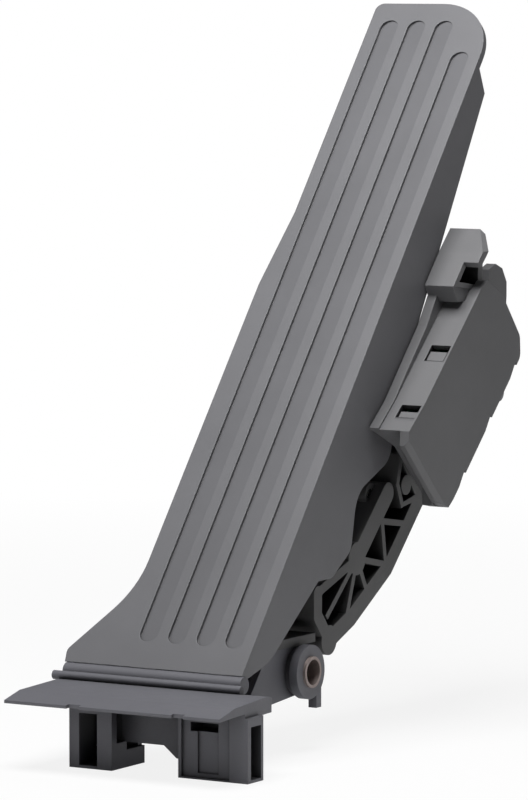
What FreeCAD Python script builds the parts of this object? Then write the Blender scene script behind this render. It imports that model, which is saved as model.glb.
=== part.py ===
import FreeCAD, Part
import math
import os

import Sketcher

# Accelerator pedal: a long plastic treadle hinged at its heel on a foot bracket, with a ribbed
# truss carrier behind it. A lever in the carrier follows the treadle through a pin in a slot,
# and turns a magnet in the sensor housing that stands beside the carrier.
#
# Millimetres. +X is the driver's right, +Y points forward, away from the driver, +Z is up.
# Sizes ending in _y and _z are measured from the front foot of the bracket at floor level.
# The finished part is moved so that its origin lies on the floor pin's bore.
# Treadle sizes called along run up its face from the heel edge, and deep runs behind its face.

SIZES = {
    # floor pin bore, the reference point of the whole pedal
    "pin_bore_y": 64.0, "pin_bore_z": 27.0, "barrel_radius": 8.0, "barrel_half": 24.0,
    "sleeve_radius": 5.2, "sleeve_bore": 4.2, "sleeve_half": 25.0,
    "barrel_flare": 9.0, "barrel_flare_long": 3.0,
    # heel hinge
    "hinge_y": 20.2, "hinge_z": 28.0, "bead_radius": 2.8, "hinge_play": 0.1,
    "knuckle_wall": 2.1, "knuckle_wide": 10.0, "knuckle_apart": 13.0, "knuckle_mouth": 1.6,
    "neck_front_y": 18.2, "neck_back_y": 20.1, "hinge_left": 43.0, "hinge_right": 25.0,
    # treadle
    "pedal_lean": 38.9, "face_rise": 2.2, "sole_start": 2.1, "pedal_long": 274.5,
    "plate_thick": 2.6, "half_width": 24.3, "skirt_wall": 2.2,
    "left_overhang": 2.9, "taper_low_along": 153.0, "taper_high_along": 183.5,
    "flare_width": 44.6, "flare_along": 4.6, "flare_heel": 43.6, "flare_top_along": 30.0,
    "flare_round": 35.0, "flare_corner": 3.0, "crown_round": 22.0, "crown_corner": 3.0,
    "heel_deep": 2.6, "ramp_along": 12.7, "ramp_deep": 11.9, "apron_along": 50.4, "apron_deep": 21.8,
    "lobe_low_along": 56.0, "lobe_low_deep": 28.6, "lobe_along": 70.2, "lobe_deep": 33.4,
    "notch_along": 87.0, "notch_deep": 24.5,
    "shoulder_along": 108.0, "shoulder_deep": 36.0, "waist_along": 122.0, "waist_deep": 30.3,
    "step_along": 138.0, "step_deep": 29.3, "blade_along": 152.0, "blade_deep": 23.4,
    "tip_along": 244.0, "tip_deep": 11.0, "tip_end_along": 248.3, "tip_end_deep": 2.7,
    "lobe_round": 6.0, "notch_round": 12.0, "shoulder_round": 9.0, "skirt_round": 8.0,
    "hollow_low": 7.0, "hollow_high": 245.6,
    "rib_thick": 1.8, "rib_deep": 7.0, "rib_first": 28.0, "rib_apart": 26.0, "rib_count": 8,
    "channel_wide": 6.8, "channel_deep": 0.9, "channel_left": 19.4, "channel_apart": 10.9,
    "channel_low": 10.0, "channel_high": 267.0, "short_channel_high": 253.5,
    # guide ribs, whose slots drive the lever
    "guide_inner": 8.0, "guide_thick": 2.5, "guide_low_along": 76.0, "guide_high_along": 122.0,
    "guide_deep": 20.2, "stop_pad_low": 101.0, "stop_pad_high": 110.0, "stop_pad_deep": 21.6,
    "guide_end_deep": 6.0, "pin_radius": 2.5, "slot_play": 0.25,
    # lever pivot, lever and the pin in its end
    "pivot_y": 168.0, "pivot_z": 116.5, "pin_y": 90.3, "pin_z": 96.7,
    "slot_slide_along": 5.1, "slot_slide_up": 3.8, "pin_half": 11.5,
    "lever_hub": 9.0, "lever_hub_half": 6.0, "lever_eye": 5.2, "lever_half": 5.0,
    "lever_root": 13.0, "lever_tip": 8.0, "lever_recess": 2.8, "lever_rim": 2.0,
    "shaft_radius": 4.0, "shaft_left": 19.5, "shaft_right": 27.0,
    "shaft_end_radius": 3.0, "shaft_end": 29.6,
    "bush_wall": 1.5, "bush_play": 0.05, "bush_flange": 7.2, "bush_flange_thick": 1.0,
    "wire_radius": 0.8, "coil_radius": 7.6, "coil_pitch": 1.75, "coil_turns": 2.5,
    "coil_start": 7.4, "spring_leg": 19.0, "spring_turn": -1.7,
    # truss carrier
    "carrier_half": 20.5, "cheek_thick": 6.0, "web_thick": 2.5, "truss_rib": 2.1,
    "chord_thick": 6.4, "low_chord_thick": 5.2, "arm_thick": 7.4, "hub_radius": 5.6,
    "chord_foot_y": 82.0, "chord_foot_z": 35.2, "chord_foot_round": 5.0,
    "chord_low_y": 97.0, "chord_low_z": 41.2,
    "chord_mid_y": 121.5, "chord_mid_z": 55.6, "chord_top_y": 143.0, "chord_top_z": 76.6,
    "low_top_y": 74.6, "low_top_z": 51.5, "low_mid_y": 74.6, "low_mid_z": 44.0,
    "hub_y": 100.5, "hub_z": 60.5, "arm_top_y": 121.4, "arm_top_z": 80.6,
    "link_y": 78.0, "link_z": 53.0, "rib_a_y": 80.2, "rib_a_z": 43.0, "rib_b_y": 93.5, "rib_b_z": 41.5,
    "rib_c_y": 107.2, "rib_c_z": 48.6, "rib_d_y": 119.8, "rib_d_z": 56.6,
    "arm_mid_y": 117.5, "arm_mid_z": 71.5, "rib_e_y": 134.5, "rib_e_z": 68.9,
    "cell_low_y": 131.5, "cell_low_z": 75.0, "cell_mid_y": 128.0, "cell_mid_z": 83.0,
    "cell_top_y": 130.6, "cell_top_z": 92.6, "boss_y": 133.9, "boss_z": 82.3, "boss_radius": 3.4,
    "boss_hole": 1.5,
    "trough_half": 7.0, "trough_low_y": 112.0, "trough_low_z": 81.0, "trough_high_y": 150.0,
    "trough_high_z": 99.5, "trough_top_z": 112.0,
    "cheek_front_y": 134.0, "cheek_front_z": 101.0, "cheek_brow_y": 150.0, "cheek_brow_z": 122.0,
    "cheek_crest_y": 172.0, "cheek_crest_z": 136.0, "cheek_back_y": 191.0, "cheek_back_z": 140.0,
    "cheek_heel_y": 190.0, "cheek_heel_z": 114.0, "cheek_low_y": 152.0, "cheek_low_z": 79.0,
    "wall_low_y": 145.0, "wall_low_z": 78.5, "wall_high_y": 186.5, "wall_high_z": 114.0,
    "wall_thick": 2.5,
    "bar_front_y": 146.5, "bar_back_y": 152.5, "bar_low_z": 121.0, "bar_high_z": 123.6,
    "pad_thick": 2.2, "pad_half": 4.5,
    "seat_low_z": 35.5, "seat_thick": 3.0, "seat_front_y": 45.0, "seat_half": 19.5,
    "stop_y": 116.5, "stop_z": 80.4, "stop_radius": 2.2, "stop_boss": 3.9, "stop_boss_half": 16.5,
    "stop_half": 16.2, "stop_open_half": 12.5,
    "screw_radius": 1.5, "screw_head": 3.4, "screw_head_thick": 2.2,
    "seat_screw_x": 11.0, "seat_screw_y": 53.0, "seat_screw_long": 11.0,
    # foot bracket
    "lip_front_y": -16.2, "lip_front_z": 21.8, "lip_edge": 1.0, "crease_y": -7.2, "crease_z": 25.0,
    "crease_low_z": 22.3, "lip_back_y": 15.2, "lip_back_z": 25.8, "lip_left": 43.4, "lip_right": 38.0,
    "lip_trim": 2.2, "lip_nick_left_start": -19.6, "lip_nick_left_end": -14.8,
    "lip_nick_right_start": 20.0, "lip_nick_right_end": 24.4, "lip_nick_deep": 1.3,
    "rail_y": 17.0, "rail_z": 26.8, "rail_radius": 1.5, "rail_left": 46.0,
    "rail_right": 26.0, "deck_low_z": 20.4, "deck_top_z": 25.3,
    "left_foot_out": 29.0, "left_foot_in": 12.7, "left_foot_deep": 19.8, "left_foot_wall": 3.8,
    "left_window_in": 18.3, "left_window_top": 18.0, "foot_floor": 1.0,
    "side_window_front": 3.0, "side_window_back": 9.5, "side_window_low": 8.6,
    "tail_top": 5.8, "tail_front": 9.0,
    "right_foot_in": 12.5, "right_foot_out": 38.5, "right_foot_deep": 9.6, "step_in": 1.2,
    "step_one": 19.3, "step_two": 27.1, "step_three": 31.6, "panel_sink": 0.9,
    "panel_window_in": 16.7, "panel_window_low": 15.4, "panel_window_top": 18.3,
    "side_slot_front": 2.0, "side_slot_back": 8.2, "side_slot_deep": 8.0,
    "tie_y": 8.0, "tie_thick": 2.4, "tie_low": 8.5, "tie_slope_x": 3.7, "tie_slope_end_x": 8.5,
    "tie_slope_end_z": 4.6,
    "keel_half": 19.0, "keel_low_y": 39.3, "keel_low_z": 17.3, "keel_back_z": 19.2,
    "keel_ramp_y": 34.0, "keel_ramp_z": 22.6, "keel_wall": 2.6, "keel_cell_low_y": 26.0,
    "keel_cell_high_y": 53.0, "keel_cell_top": 30.0,
    "nib_y": 69.2, "nib_low_z": 14.6, "nib_thick": 3.2, "nib_long": 3.0,
    # sensor housing and its cover
    "housing_inner": 24.8, "parting": 28.4, "plate_start": 36.5, "cover_outer": 40.0,
    "housing_wall": 1.6, "cover_wall": 1.9, "cover_bevel": 1.6, "case_round": 4.0,
    "case_small_round": 2.0, "tray_ahead": 0.6, "tray_top_y": 133.6, "tray_top_z": 136.6,
    "tray_notch_y": 140.8, "tray_notch_z": 146.9,
    "front_low_y": 101.2, "front_low_z": 104.2, "front_mid_y": 111.5, "front_mid_z": 112.4,
    "front_top_y": 150.6, "front_top_z": 148.6, "brow_y": 154.8, "brow_z": 151.6,
    "crown_y": 165.6, "crown_z": 146.4, "back_top_y": 178.8, "back_top_z": 131.0,
    "back_high_y": 179.2, "back_high_z": 123.6, "back_low_y": 131.6, "back_low_z": 78.6,
    "base_back_y": 128.2, "base_back_z": 76.2, "base_front_y": 122.2, "base_front_z": 78.6,
    "front_edge_y": 100.8, "front_edge_z": 99.2, "under_cover_y": 116.5, "under_cover_z": 96.0,
    "sill_start": 33.0, "sill_front_y": 122.7, "sill_low_z": 77.2, "sill_top_z": 83.0,
    "under_front_y": 118.0, "under_front_z": 97.0, "under_back_y": 133.4, "under_back_z": 82.6,
    "flange_low_y": 147.0, "flange_low_z": 85.5, "flange_back_y": 187.5, "flange_back_z": 112.0,
    "flange_high_y": 190.5, "flange_high_z": 143.5, "ear_low_y": 177.0, "ear_low_z": 141.5,
    "ear_a_y": 177.5, "ear_a_z": 153.5, "ear_b_y": 182.5, "ear_b_z": 155.2,
    "ear_c_y": 187.3, "ear_c_z": 153.4, "ear_d_y": 190.5, "ear_d_z": 148.5,
    "screw_a_y": 151.0, "screw_a_z": 91.5, "screw_b_y": 183.5, "screw_b_z": 133.0,
    "screw_c_y": 181.5, "screw_c_z": 111.0, "stud_radius": 4.2,
    "slot_a_y": 129.9, "slot_a_z": 128.1, "slot_b_y": 111.3, "slot_b_z": 109.4,
    "snap_left": 31.8, "snap_right": 39.2, "snap_high": 7.2, "snap_gap": 0.5, "snap_shade": 2.6,
    "notch_sunk": 1.3, "notch_long": 6.4, "notch_start": 33.5,
    "notch_a_y": 176.4, "notch_a_z": 121.0, "notch_b_y": 158.8, "notch_b_z": 104.3,
    "notch_c_y": 140.4, "notch_c_z": 86.9,
    # the room for the board, inside the rim
    "cavity_a_y": 112.5, "cavity_a_z": 110.6, "cavity_b_y": 150.4, "cavity_b_z": 145.6,
    "cavity_c_y": 163.8, "cavity_c_z": 144.2, "cavity_d_y": 175.6, "cavity_d_z": 130.0,
    "cavity_e_y": 172.0, "cavity_e_z": 119.8, "cavity_f_y": 138.0, "cavity_f_z": 88.5,
    "cavity_g_y": 110.0, "cavity_g_z": 102.4, "cavity_h_y": 106.3, "cavity_h_z": 105.4,
    "board_inset": 2.4,
    # plug socket on the housing, open to the right
    "socket_low_y": 138.5, "socket_low_z": 150.1, "socket_mid_y": 148.7, "socket_mid_z": 161.3,
    "socket_top_y": 156.4, "socket_top_z": 168.7, "socket_brow_y": 157.8, "socket_brow_z": 167.0,
    "socket_back_y": 159.4, "socket_back_z": 160.7, "socket_end_y": 158.2, "socket_end_z": 147.0,
    "socket_right": 36.0, "socket_floor": 26.4,
    "mouth_low_y": 142.6, "mouth_low_z": 151.4, "mouth_top_y": 150.7, "mouth_top_z": 160.2,
    "mouth_back_y": 155.8, "mouth_back_z": 157.0, "mouth_end_y": 155.6, "mouth_end_z": 149.6,
    "hood_low_y": 145.6, "hood_low_z": 157.9, "hood_in_y": 147.4, "hood_in_z": 156.2,
    "hood_back_y": 151.9, "hood_back_z": 160.3, "hood_right": 41.6, "hood_top_right": 36.4,
    "clip_low_y": 142.0, "clip_low_z": 144.6, "clip_back_y": 147.0, "clip_right": 35.6,
    "terminal_y": 146.6, "terminal_z": 152.6, "terminal_step_y": 1.9, "terminal_step_z": 1.2,
    "terminal_wide": 0.7, "terminal_end": 31.4, "terminal_count": 4,
    # what the housing holds
    "holder_radius": 6.2, "holder_thick": 1.4, "magnet_bore": 4.4, "magnet_thick": 1.2,
    "rotor_start": 26.6, "rotor_room": 7.2, "rotor_wall": 1.4, "rotor_cap": 33.0, "rotor_end": 34.2,
    "board_low": 31.2, "board_thick": 1.4, "board_ear": 6.8,
    "chip_thick": 1.0, "chip_wide": 4.0, "chip_apart": 3.4, "seal_radius": 5.6, "seal_play": 0.05,
}


class Size:
    """A length with the spreadsheet expression that gives it."""

    def __init__(self, value, text):
        self.value = float(value)
        self.text = text

    def __add__(self, other):
        return join(self, "+", other)

    def __radd__(self, other):
        return join(other, "+", self)

    def __sub__(self, other):
        return join(self, "-", other)

    def __rsub__(self, other):
        return join(other, "-", self)

    def __mul__(self, other):
        return join(self, "*", other)

    def __rmul__(self, other):
        return join(other, "*", self)

    def __truediv__(self, other):
        return join(self, "/", other)

    def __neg__(self):
        return join(0.0, "-", self)


def as_size(number):
    if isinstance(number, Size):
        return number
    return Size(number, repr(float(number)))


def join(left, sign, right):
    a, b = as_size(left), as_size(right)
    results = {
        "+": a.value + b.value,
        "-": a.value - b.value,
        "*": a.value * b.value,
        "/": a.value / b.value if sign == "/" else 0.0,
    }
    return Size(results[sign], f"({a.text} {sign} {b.text})")


def root(number):
    return Size(math.sqrt(number.value), f"sqrt({number.text})")


def cosine(angle):
    return Size(math.cos(math.radians(angle.value)), f"cos({angle.text})")


def sine(angle):
    return Size(math.sin(math.radians(angle.value)), f"sin({angle.text})")


def size(name):
    return Size(SIZES[name], f"Sizes.{name}")


def spot(name):
    """A place in the side view, from the two sizes that end in _y and _z."""
    return size(name + "_y"), size(name + "_z")


def spots(*names):
    return [spot(name) for name in names]


def bind(feature, path, number):
    number = as_size(number)
    if "Sizes." in number.text:
        feature.setExpression(path, number.text)


def fill_sheet(doc):
    sheet = doc.addObject("Spreadsheet::Sheet", "Sizes")
    for row, (name, value) in enumerate(SIZES.items(), start=1):
        sheet.set(f"A{row}", name)
        sheet.set(f"B{row}", str(value))
        sheet.setAlias(f"B{row}", name)
    doc.recompute()


def origin_part(body, role):
    return next(item for item in body.Origin.OriginFeatures if item.Role == role)


def new_body(doc, label):
    """A body whose own frame starts at the front foot and is moved to the floor pin's bore."""
    body = doc.addObject("PartDesign::Body", label)
    body.Label = label
    bind(body, "Placement.Base.y", -size("pin_bore_y"))
    bind(body, "Placement.Base.z", -size("pin_bore_z"))
    return body


def new_sketch(body, name, plane, level):
    sketch = body.newObject("Sketcher::SketchObject", name)
    sketch.AttachmentSupport = (origin_part(body, plane), "")
    sketch.MapMode = "FlatFace"
    level = as_size(level)
    sketch.AttachmentOffset.Base.z = level.value
    bind(sketch, "AttachmentOffset.Base.z", level)
    return sketch


def pin_point(sketch, geometry, end, point):
    for kind, number in zip(("DistanceX", "DistanceY"), point):
        number = as_size(number)
        index = sketch.addConstraint(Sketcher.Constraint(kind, -1, 1, geometry, end, number.value))
        bind(sketch, f"Constraints[{index}]", number)


def draw_outline(sketch, points):
    first = sketch.GeometryCount
    corners = [FreeCAD.Vector(as_size(u).value, as_size(v).value, 0) for u, v in points]
    for start, end in zip(corners, corners[1:] + corners[:1]):
        sketch.addGeometry(Part.LineSegment(start, end), False)
    count = len(points)
    for step in range(count):
        following = first + (step + 1) % count
        sketch.addConstraint(Sketcher.Constraint("Coincident", first + step, 2, following, 1))
    for step, point in enumerate(points):
        pin_point(sketch, first + step, 1, point)


def draw_circle(sketch, centre, radius):
    radius = as_size(radius)
    middle = FreeCAD.Vector(as_size(centre[0]).value, as_size(centre[1]).value, 0)
    ring = sketch.addGeometry(Part.Circle(middle, FreeCAD.Vector(0, 0, 1), radius.value), False)
    index = sketch.addConstraint(Sketcher.Constraint("Radius", ring, radius.value))
    bind(sketch, f"Constraints[{index}]", radius)
    pin_point(sketch, ring, 3, centre)


def draw_slot(sketch, start, end, radius):
    """A round-ended slot between two centres."""
    radius = as_size(radius)
    a = FreeCAD.Vector(as_size(start[0]).value, as_size(start[1]).value, 0)
    b = FreeCAD.Vector(as_size(end[0]).value, as_size(end[1]).value, 0)
    way = (b - a).normalize()
    side = FreeCAD.Vector(-way.y, way.x, 0) * radius.value
    up = FreeCAD.Vector(0, 0, 1)
    turn = math.atan2(side.y, side.x)
    first = sketch.GeometryCount
    sketch.addGeometry(Part.LineSegment(b + side, a + side), False)
    sketch.addGeometry(Part.ArcOfCircle(Part.Circle(a, up, radius.value), turn, turn + math.pi), False)
    sketch.addGeometry(Part.LineSegment(a - side, b - side), False)
    far = Part.ArcOfCircle(Part.Circle(b, up, radius.value), turn + math.pi, turn + 2 * math.pi)
    sketch.addGeometry(far, False)
    for step in range(4):
        following = first + (step + 1) % 4
        sketch.addConstraint(Sketcher.Constraint("Tangent", first + step, 2, following, 1))
    for arc, centre in ((first + 1, start), (first + 3, end)):
        pin_point(sketch, arc, 3, centre)
        index = sketch.addConstraint(Sketcher.Constraint("Radius", arc, radius.value))
        bind(sketch, f"Constraints[{index}]", radius)


def add_pad(body, name, sketch, length, symmetric=False):
    pad = body.newObject("PartDesign::Pad", name)
    pad.Profile = sketch
    pad.SideType = "Symmetric" if symmetric else "One side"
    pad.Length = as_size(length).value
    bind(pad, "Length", length)
    return pad


def add_pocket(body, name, sketch, length, symmetric=False, outward=False):
    pocket = body.newObject("PartDesign::Pocket", name)
    pocket.Profile = sketch
    pocket.SideType = "Symmetric" if symmetric else "One side"
    pocket.Reversed = outward
    pocket.Length = as_size(length).value
    bind(pocket, "Length", length)
    return pocket


def pad_outline(body, name, points, low, high, plane="YZ_Plane"):
    sketch = new_sketch(body, name + "_sketch", plane, low)
    draw_outline(sketch, points)
    return add_pad(body, name, sketch, as_size(high) - low)


def pad_across(body, name, points, width):
    """A side-view outline carried across the middle plane to a full width."""
    sketch = new_sketch(body, name + "_sketch", "YZ_Plane", 0.0)
    draw_outline(sketch, points)
    return add_pad(body, name, sketch, width, symmetric=True)


def pad_disc(body, name, centre, radius, low, high, plane="YZ_Plane"):
    sketch = new_sketch(body, name + "_sketch", plane, low)
    draw_circle(sketch, centre, radius)
    return add_pad(body, name, sketch, as_size(high) - low)


def cut_outline(body, name, points, low, high, plane="YZ_Plane"):
    sketch = new_sketch(body, name + "_sketch", plane, high)
    draw_outline(sketch, points)
    return add_pocket(body, name, sketch, as_size(high) - low)


def cut_disc(body, name, centre, radius, low, high, plane="YZ_Plane"):
    sketch = new_sketch(body, name + "_sketch", plane, high)
    draw_circle(sketch, centre, radius)
    return add_pocket(body, name, sketch, as_size(high) - low)


def box_points(left, right, front, back):
    return [(left, front), (right, front), (right, back), (left, back)]


def pad_box(body, name, left, right, front, back, low, high):
    return pad_outline(body, name, box_points(left, right, front, back), low, high, "XY_Plane")


def cut_box(body, name, left, right, front, back, low, high):
    return cut_outline(body, name, box_points(left, right, front, back), low, high, "XY_Plane")


def strip(start, end, thick):
    """The four corners of a straight rib between two places."""
    run, rise = end[0] - start[0], end[1] - start[1]
    long = root(run * run + rise * rise)
    across, up = rise * thick / (long * 2), run * thick / (long * 2)
    return [
        (start[0] + across, start[1] - up),
        (end[0] + across, end[1] - up),
        (end[0] - across, end[1] + up),
        (start[0] - across, start[1] + up),
    ]


def straight_edges(shape, axis, places):
    """Names of the straight edges along an axis that pass through places in the other two."""
    kept = [index for index in range(3) if index != axis]
    wanted = [(as_size(u).value, as_size(v).value) for u, v in places]
    names = []
    for number, edge in enumerate(shape.Edges, start=1):
        if not isinstance(edge.Curve, Part.Line) or abs(edge.Curve.Direction[axis]) < 0.999:
            continue
        middle = edge.CenterOfMass
        here = (middle[kept[0]], middle[kept[1]])
        if any(math.dist(here, place) < 0.01 for place in wanted):
            names.append(f"Edge{number}")
    return names


def round_edges(body, name, feature, axis, places, radius):
    body.Document.recompute()
    names = straight_edges(feature.Shape, axis, places)
    if len(names) < len(places):
        raise ValueError(f"{name} found {len(names)} edges for {len(places)} places")
    fillet = body.newObject("PartDesign::Fillet", name)
    fillet.Base = (feature, names)
    fillet.Radius = as_size(radius).value
    bind(fillet, "Radius", radius)
    return fillet


def revolve(body, name, points, centre):
    """A turned piece about a line along X; points are distance along X and radius."""
    sketch = new_sketch(body, name + "_sketch", "XY_Plane", centre[1])
    draw_outline(sketch, [(along, centre[0] + radius) for along, radius in points])
    line = sketch.addGeometry(Part.LineSegment(FreeCAD.Vector(-1, 0, 0), FreeCAD.Vector(1, 0, 0)), True)
    sketch.addConstraint(Sketcher.Constraint("Horizontal", line))
    pin_point(sketch, line, 1, (-1.0, centre[0]))
    sketch.addConstraint(Sketcher.Constraint("DistanceX", line, 1, line, 2, 2.0))
    turned = body.newObject("PartDesign::Revolution", name)
    turned.Profile = sketch
    turned.ReferenceAxis = (sketch, ["Axis0"])
    turned.Angle = 360.0
    return turned


def treadle_point(along, deep):
    """A place in the treadle's own side view, whose frame starts on the hinge line."""
    return size("sole_start") + along, size("face_rise") - deep


def treadle_spot(name):
    return treadle_point(size(name + "_along"), size(name + "_deep"))


def make_treadle(doc):
    body = doc.addObject("PartDesign::Body", "pedal_plate")
    body.Label = "pedal_plate"
    body.Placement.Rotation = FreeCAD.Rotation(FreeCAD.Vector(1, 0, 0), 1.0)
    bind(body, "Placement.Base.y", size("hinge_y") - size("pin_bore_y"))
    bind(body, "Placement.Base.z", size("hinge_z") - size("pin_bore_z"))
    bind(body, "Placement.Rotation.Angle", 90.0 - size("pedal_lean"))
    add_skirts(body)
    add_sole(body)
    add_treadle_ribs(body)
    add_guides(body)
    add_knuckles(body)
    add_channels(body)
    return body


def add_skirts(body):
    edge_names = ["ramp", "apron", "lobe_low", "lobe", "notch", "shoulder", "waist", "step", "blade", "tip"]
    outline = [treadle_point(0.0, 0.0), treadle_point(size("tip_end_along"), 0.0), treadle_spot("tip_end")]
    outline += [treadle_spot(name) for name in reversed(edge_names)]
    outline.append(treadle_point(0.0, size("heel_deep")))
    block = pad_across(body, "skirt_block", outline, size("half_width") * 2)
    rounds = (
        ("lobe_round", ["lobe", "lobe_low"]),
        ("notch_round", ["notch"]),
        ("shoulder_round", ["shoulder"]),
        ("skirt_round", ["ramp", "waist", "step", "blade"]),
    )
    last = block
    for radius, names in rounds:
        places = [treadle_spot(name) for name in names]
        last = round_edges(body, "edge_" + radius, last, 0, places, size(radius))
    inner = size("half_width") - size("skirt_wall")
    top = size("face_rise") - size("plate_thick")
    low = size("sole_start") + size("hollow_low")
    high = size("sole_start") + size("hollow_high")
    cut_box(body, "hollow", -inner, inner, low, high, top - size("shoulder_deep") * 2, top)


def add_sole(body):
    right = size("half_width")
    left = -right
    wide = left - size("left_overhang")
    start = size("sole_start")
    end = start + size("pedal_long")
    crown_right, crown_left = (right, end), (left, end)
    flare_top = (wide, start + size("flare_top_along"))
    flare_low = (-size("flare_width"), start + size("flare_along"))
    outline = [
        (right, start), crown_right, crown_left,
        (left, start + size("taper_high_along")), (wide, start + size("taper_low_along")),
        flare_top, flare_low, (-size("flare_heel"), start),
    ]
    top = size("face_rise")
    sole = pad_outline(body, "sole", outline, top - size("plate_thick"), top, "XY_Plane")
    last = round_edges(body, "crown_large", sole, 2, [crown_right], size("crown_round"))
    last = round_edges(body, "crown_small", last, 2, [crown_left], size("crown_corner"))
    last = round_edges(body, "flare_bend", last, 2, [flare_top], size("flare_round"))
    round_edges(body, "flare_tip", last, 2, [flare_low], size("flare_corner"))


def add_treadle_ribs(body):
    low = treadle_point(size("rib_first"), size("rib_deep"))
    high = treadle_point(size("rib_first") + size("rib_thick"), size("plate_thick") / 2)
    outline = box_points(low[0], high[0], low[1], high[1])
    rib = pad_across(body, "cross_rib", outline, size("half_width") * 2 - size("skirt_wall"))
    pattern = body.newObject("PartDesign::LinearPattern", "cross_ribs")
    pattern.Originals = [rib]
    pattern.Direction = (origin_part(body, "Y_Axis"), [""])
    count = int(SIZES["rib_count"])
    pattern.Occurrences = count
    pattern.Length = SIZES["rib_apart"] * (count - 1)
    bind(pattern, "Length", size("rib_apart") * (count - 1))
    body.Tip = pattern


def slot_start():
    """The slot's upper centre in the treadle's frame: the pin's place at rest."""
    lean = size("pedal_lean")
    run, rise = size("pin_y") - size("hinge_y"), size("pin_z") - size("hinge_z")
    along = run * sine(lean) + rise * cosine(lean)
    out = rise * sine(lean) - run * cosine(lean)
    return along, out


def add_guides(body):
    deep, end_deep = size("guide_deep"), size("guide_end_deep")
    pad_deep = size("stop_pad_deep")
    low, high = size("guide_low_along"), size("guide_high_along")
    pad_low, pad_high = size("stop_pad_low"), size("stop_pad_high")
    root_deep = size("plate_thick") / 2
    outline = [
        treadle_point(low, root_deep), treadle_point(high, root_deep), treadle_point(high, end_deep),
        treadle_point(pad_high, pad_deep), treadle_point(pad_low, pad_deep),
        treadle_point(pad_low - 2.0, deep), treadle_point(low + 10.0, deep), treadle_point(low, end_deep),
    ]
    inner = size("guide_inner")
    outer = inner + size("guide_thick")
    pad_outline(body, "guide_right", outline, inner, outer)
    pad_outline(body, "guide_left", outline, -outer, -inner)
    start = slot_start()
    end = (start[0] - size("slot_slide_along"), start[1] + size("slot_slide_up"))
    sketch = new_sketch(body, "slot_sketch", "YZ_Plane", 0.0)
    draw_slot(sketch, start, end, size("pin_radius") + size("slot_play"))
    add_pocket(body, "slot", sketch, outer * 2 + 1.0, symmetric=True)


def add_knuckles(body):
    outer = size("bead_radius") + size("hinge_play") + size("knuckle_wall")
    inner = size("bead_radius") + size("hinge_play")
    for name, side in (("left", -1.0), ("right", 1.0)):
        middle = size("knuckle_apart") * side
        half = size("knuckle_wide") / 2
        pad_disc(body, "knuckle_" + name, (0.0, 0.0), outer, middle - half, middle + half)
    far = size("flare_width") * 2
    sketch = new_sketch(body, "bead_room_sketch", "YZ_Plane", 0.0)
    draw_circle(sketch, (0.0, 0.0), inner)
    add_pocket(body, "bead_room", sketch, far, symmetric=True)
    mouth = -size("knuckle_mouth")
    reach = outer + 1.0
    sketch = new_sketch(body, "mouth_sketch", "YZ_Plane", 0.0)
    draw_outline(sketch, box_points(-reach, mouth, -reach, reach))
    add_pocket(body, "mouth", sketch, far, symmetric=True)
    sketch = new_sketch(body, "front_mouth_sketch", "YZ_Plane", 0.0)
    draw_outline(sketch, box_points(mouth - 1.0, reach, size("face_rise"), reach))
    add_pocket(body, "front_mouth", sketch, far, symmetric=True)


def add_channels(body):
    """Shallow channels pressed into the face, deep at their left wall and fading to the right."""
    left = -size("channel_left")
    high = size("channel_high")
    first = cut_channel(body, "channel", left, high)
    pattern = body.newObject("PartDesign::LinearPattern", "channels")
    pattern.Originals = [first]
    pattern.Direction = (origin_part(body, "X_Axis"), [""])
    pattern.Occurrences = 3
    pattern.Length = SIZES["channel_apart"] * 2
    bind(pattern, "Length", size("channel_apart") * 2)
    body.Tip = pattern
    cut_channel(body, "short_channel", left + size("channel_apart") * 3, size("short_channel_high"))


def cut_channel(body, name, left, high):
    wide, deep = size("channel_wide"), size("channel_deep")
    sketch = new_sketch(body, name + "_sketch", "XY_Plane", 0.0)
    tilt = Size(math.degrees(math.asin(deep.value / wide.value)), f"asin({(deep / wide).text})")
    sketch.AttachmentOffset = FreeCAD.Placement(
        FreeCAD.Vector(as_size(left).value, 0, (size("face_rise") - deep).value),
        FreeCAD.Rotation(FreeCAD.Vector(0, -1, 0), tilt.value),
    )
    bind(sketch, "AttachmentOffset.Base.x", left)
    bind(sketch, "AttachmentOffset.Base.z", size("face_rise") - deep)
    bind(sketch, "AttachmentOffset.Rotation.Angle", tilt)
    middle = wide / 2
    low_centre = (middle, size("sole_start") + size("channel_low") + middle)
    high_centre = (middle, size("sole_start") + high - middle)
    draw_slot(sketch, low_centre, high_centre, middle)
    return add_pocket(body, name, sketch, deep * 3, outward=True)


def make_bracket(doc):
    body = new_body(doc, "foot_bracket")
    add_lip(body)
    add_left_foot(body)
    add_right_foot(body)
    add_tie(body)
    add_keel(body)
    add_hinge_bead(body)
    return body


def add_lip(body):
    left, right = -size("lip_left"), size("lip_right")
    front, edge = spot("lip_front"), size("lip_edge")
    outline = [
        front,
        (size("crease_y"), size("crease_low_z")),
        (0.0, size("crease_low_z")),
        (0.0, size("deck_low_z")),
        (size("neck_front_y") + 1.0, size("deck_low_z")),
        (size("neck_front_y") + 1.0, size("deck_top_z")),
        spot("lip_back"),
        spot("crease"),
        (front[0], front[1] + edge),
    ]
    pad_outline(body, "lip", outline, left, right)
    trim = size("lip_trim")
    back = size("neck_front_y") + 1.0
    side = right + 0.1
    corner = [(side, front[0] + 8.0), (side, back + 0.1), (right - trim, back + 0.1)]
    cut_outline(body, "lip_corner", corner, size("deck_low_z") - 1.0, size("hinge_z"), "XY_Plane")
    for name in ("lip_nick_left", "lip_nick_right"):
        cut_box(body, name, size(name + "_start"), size(name + "_end"), front[0] - 0.1,
                front[0] + size("lip_nick_deep"), front[1] - 0.6, size("crease_z"))


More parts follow.
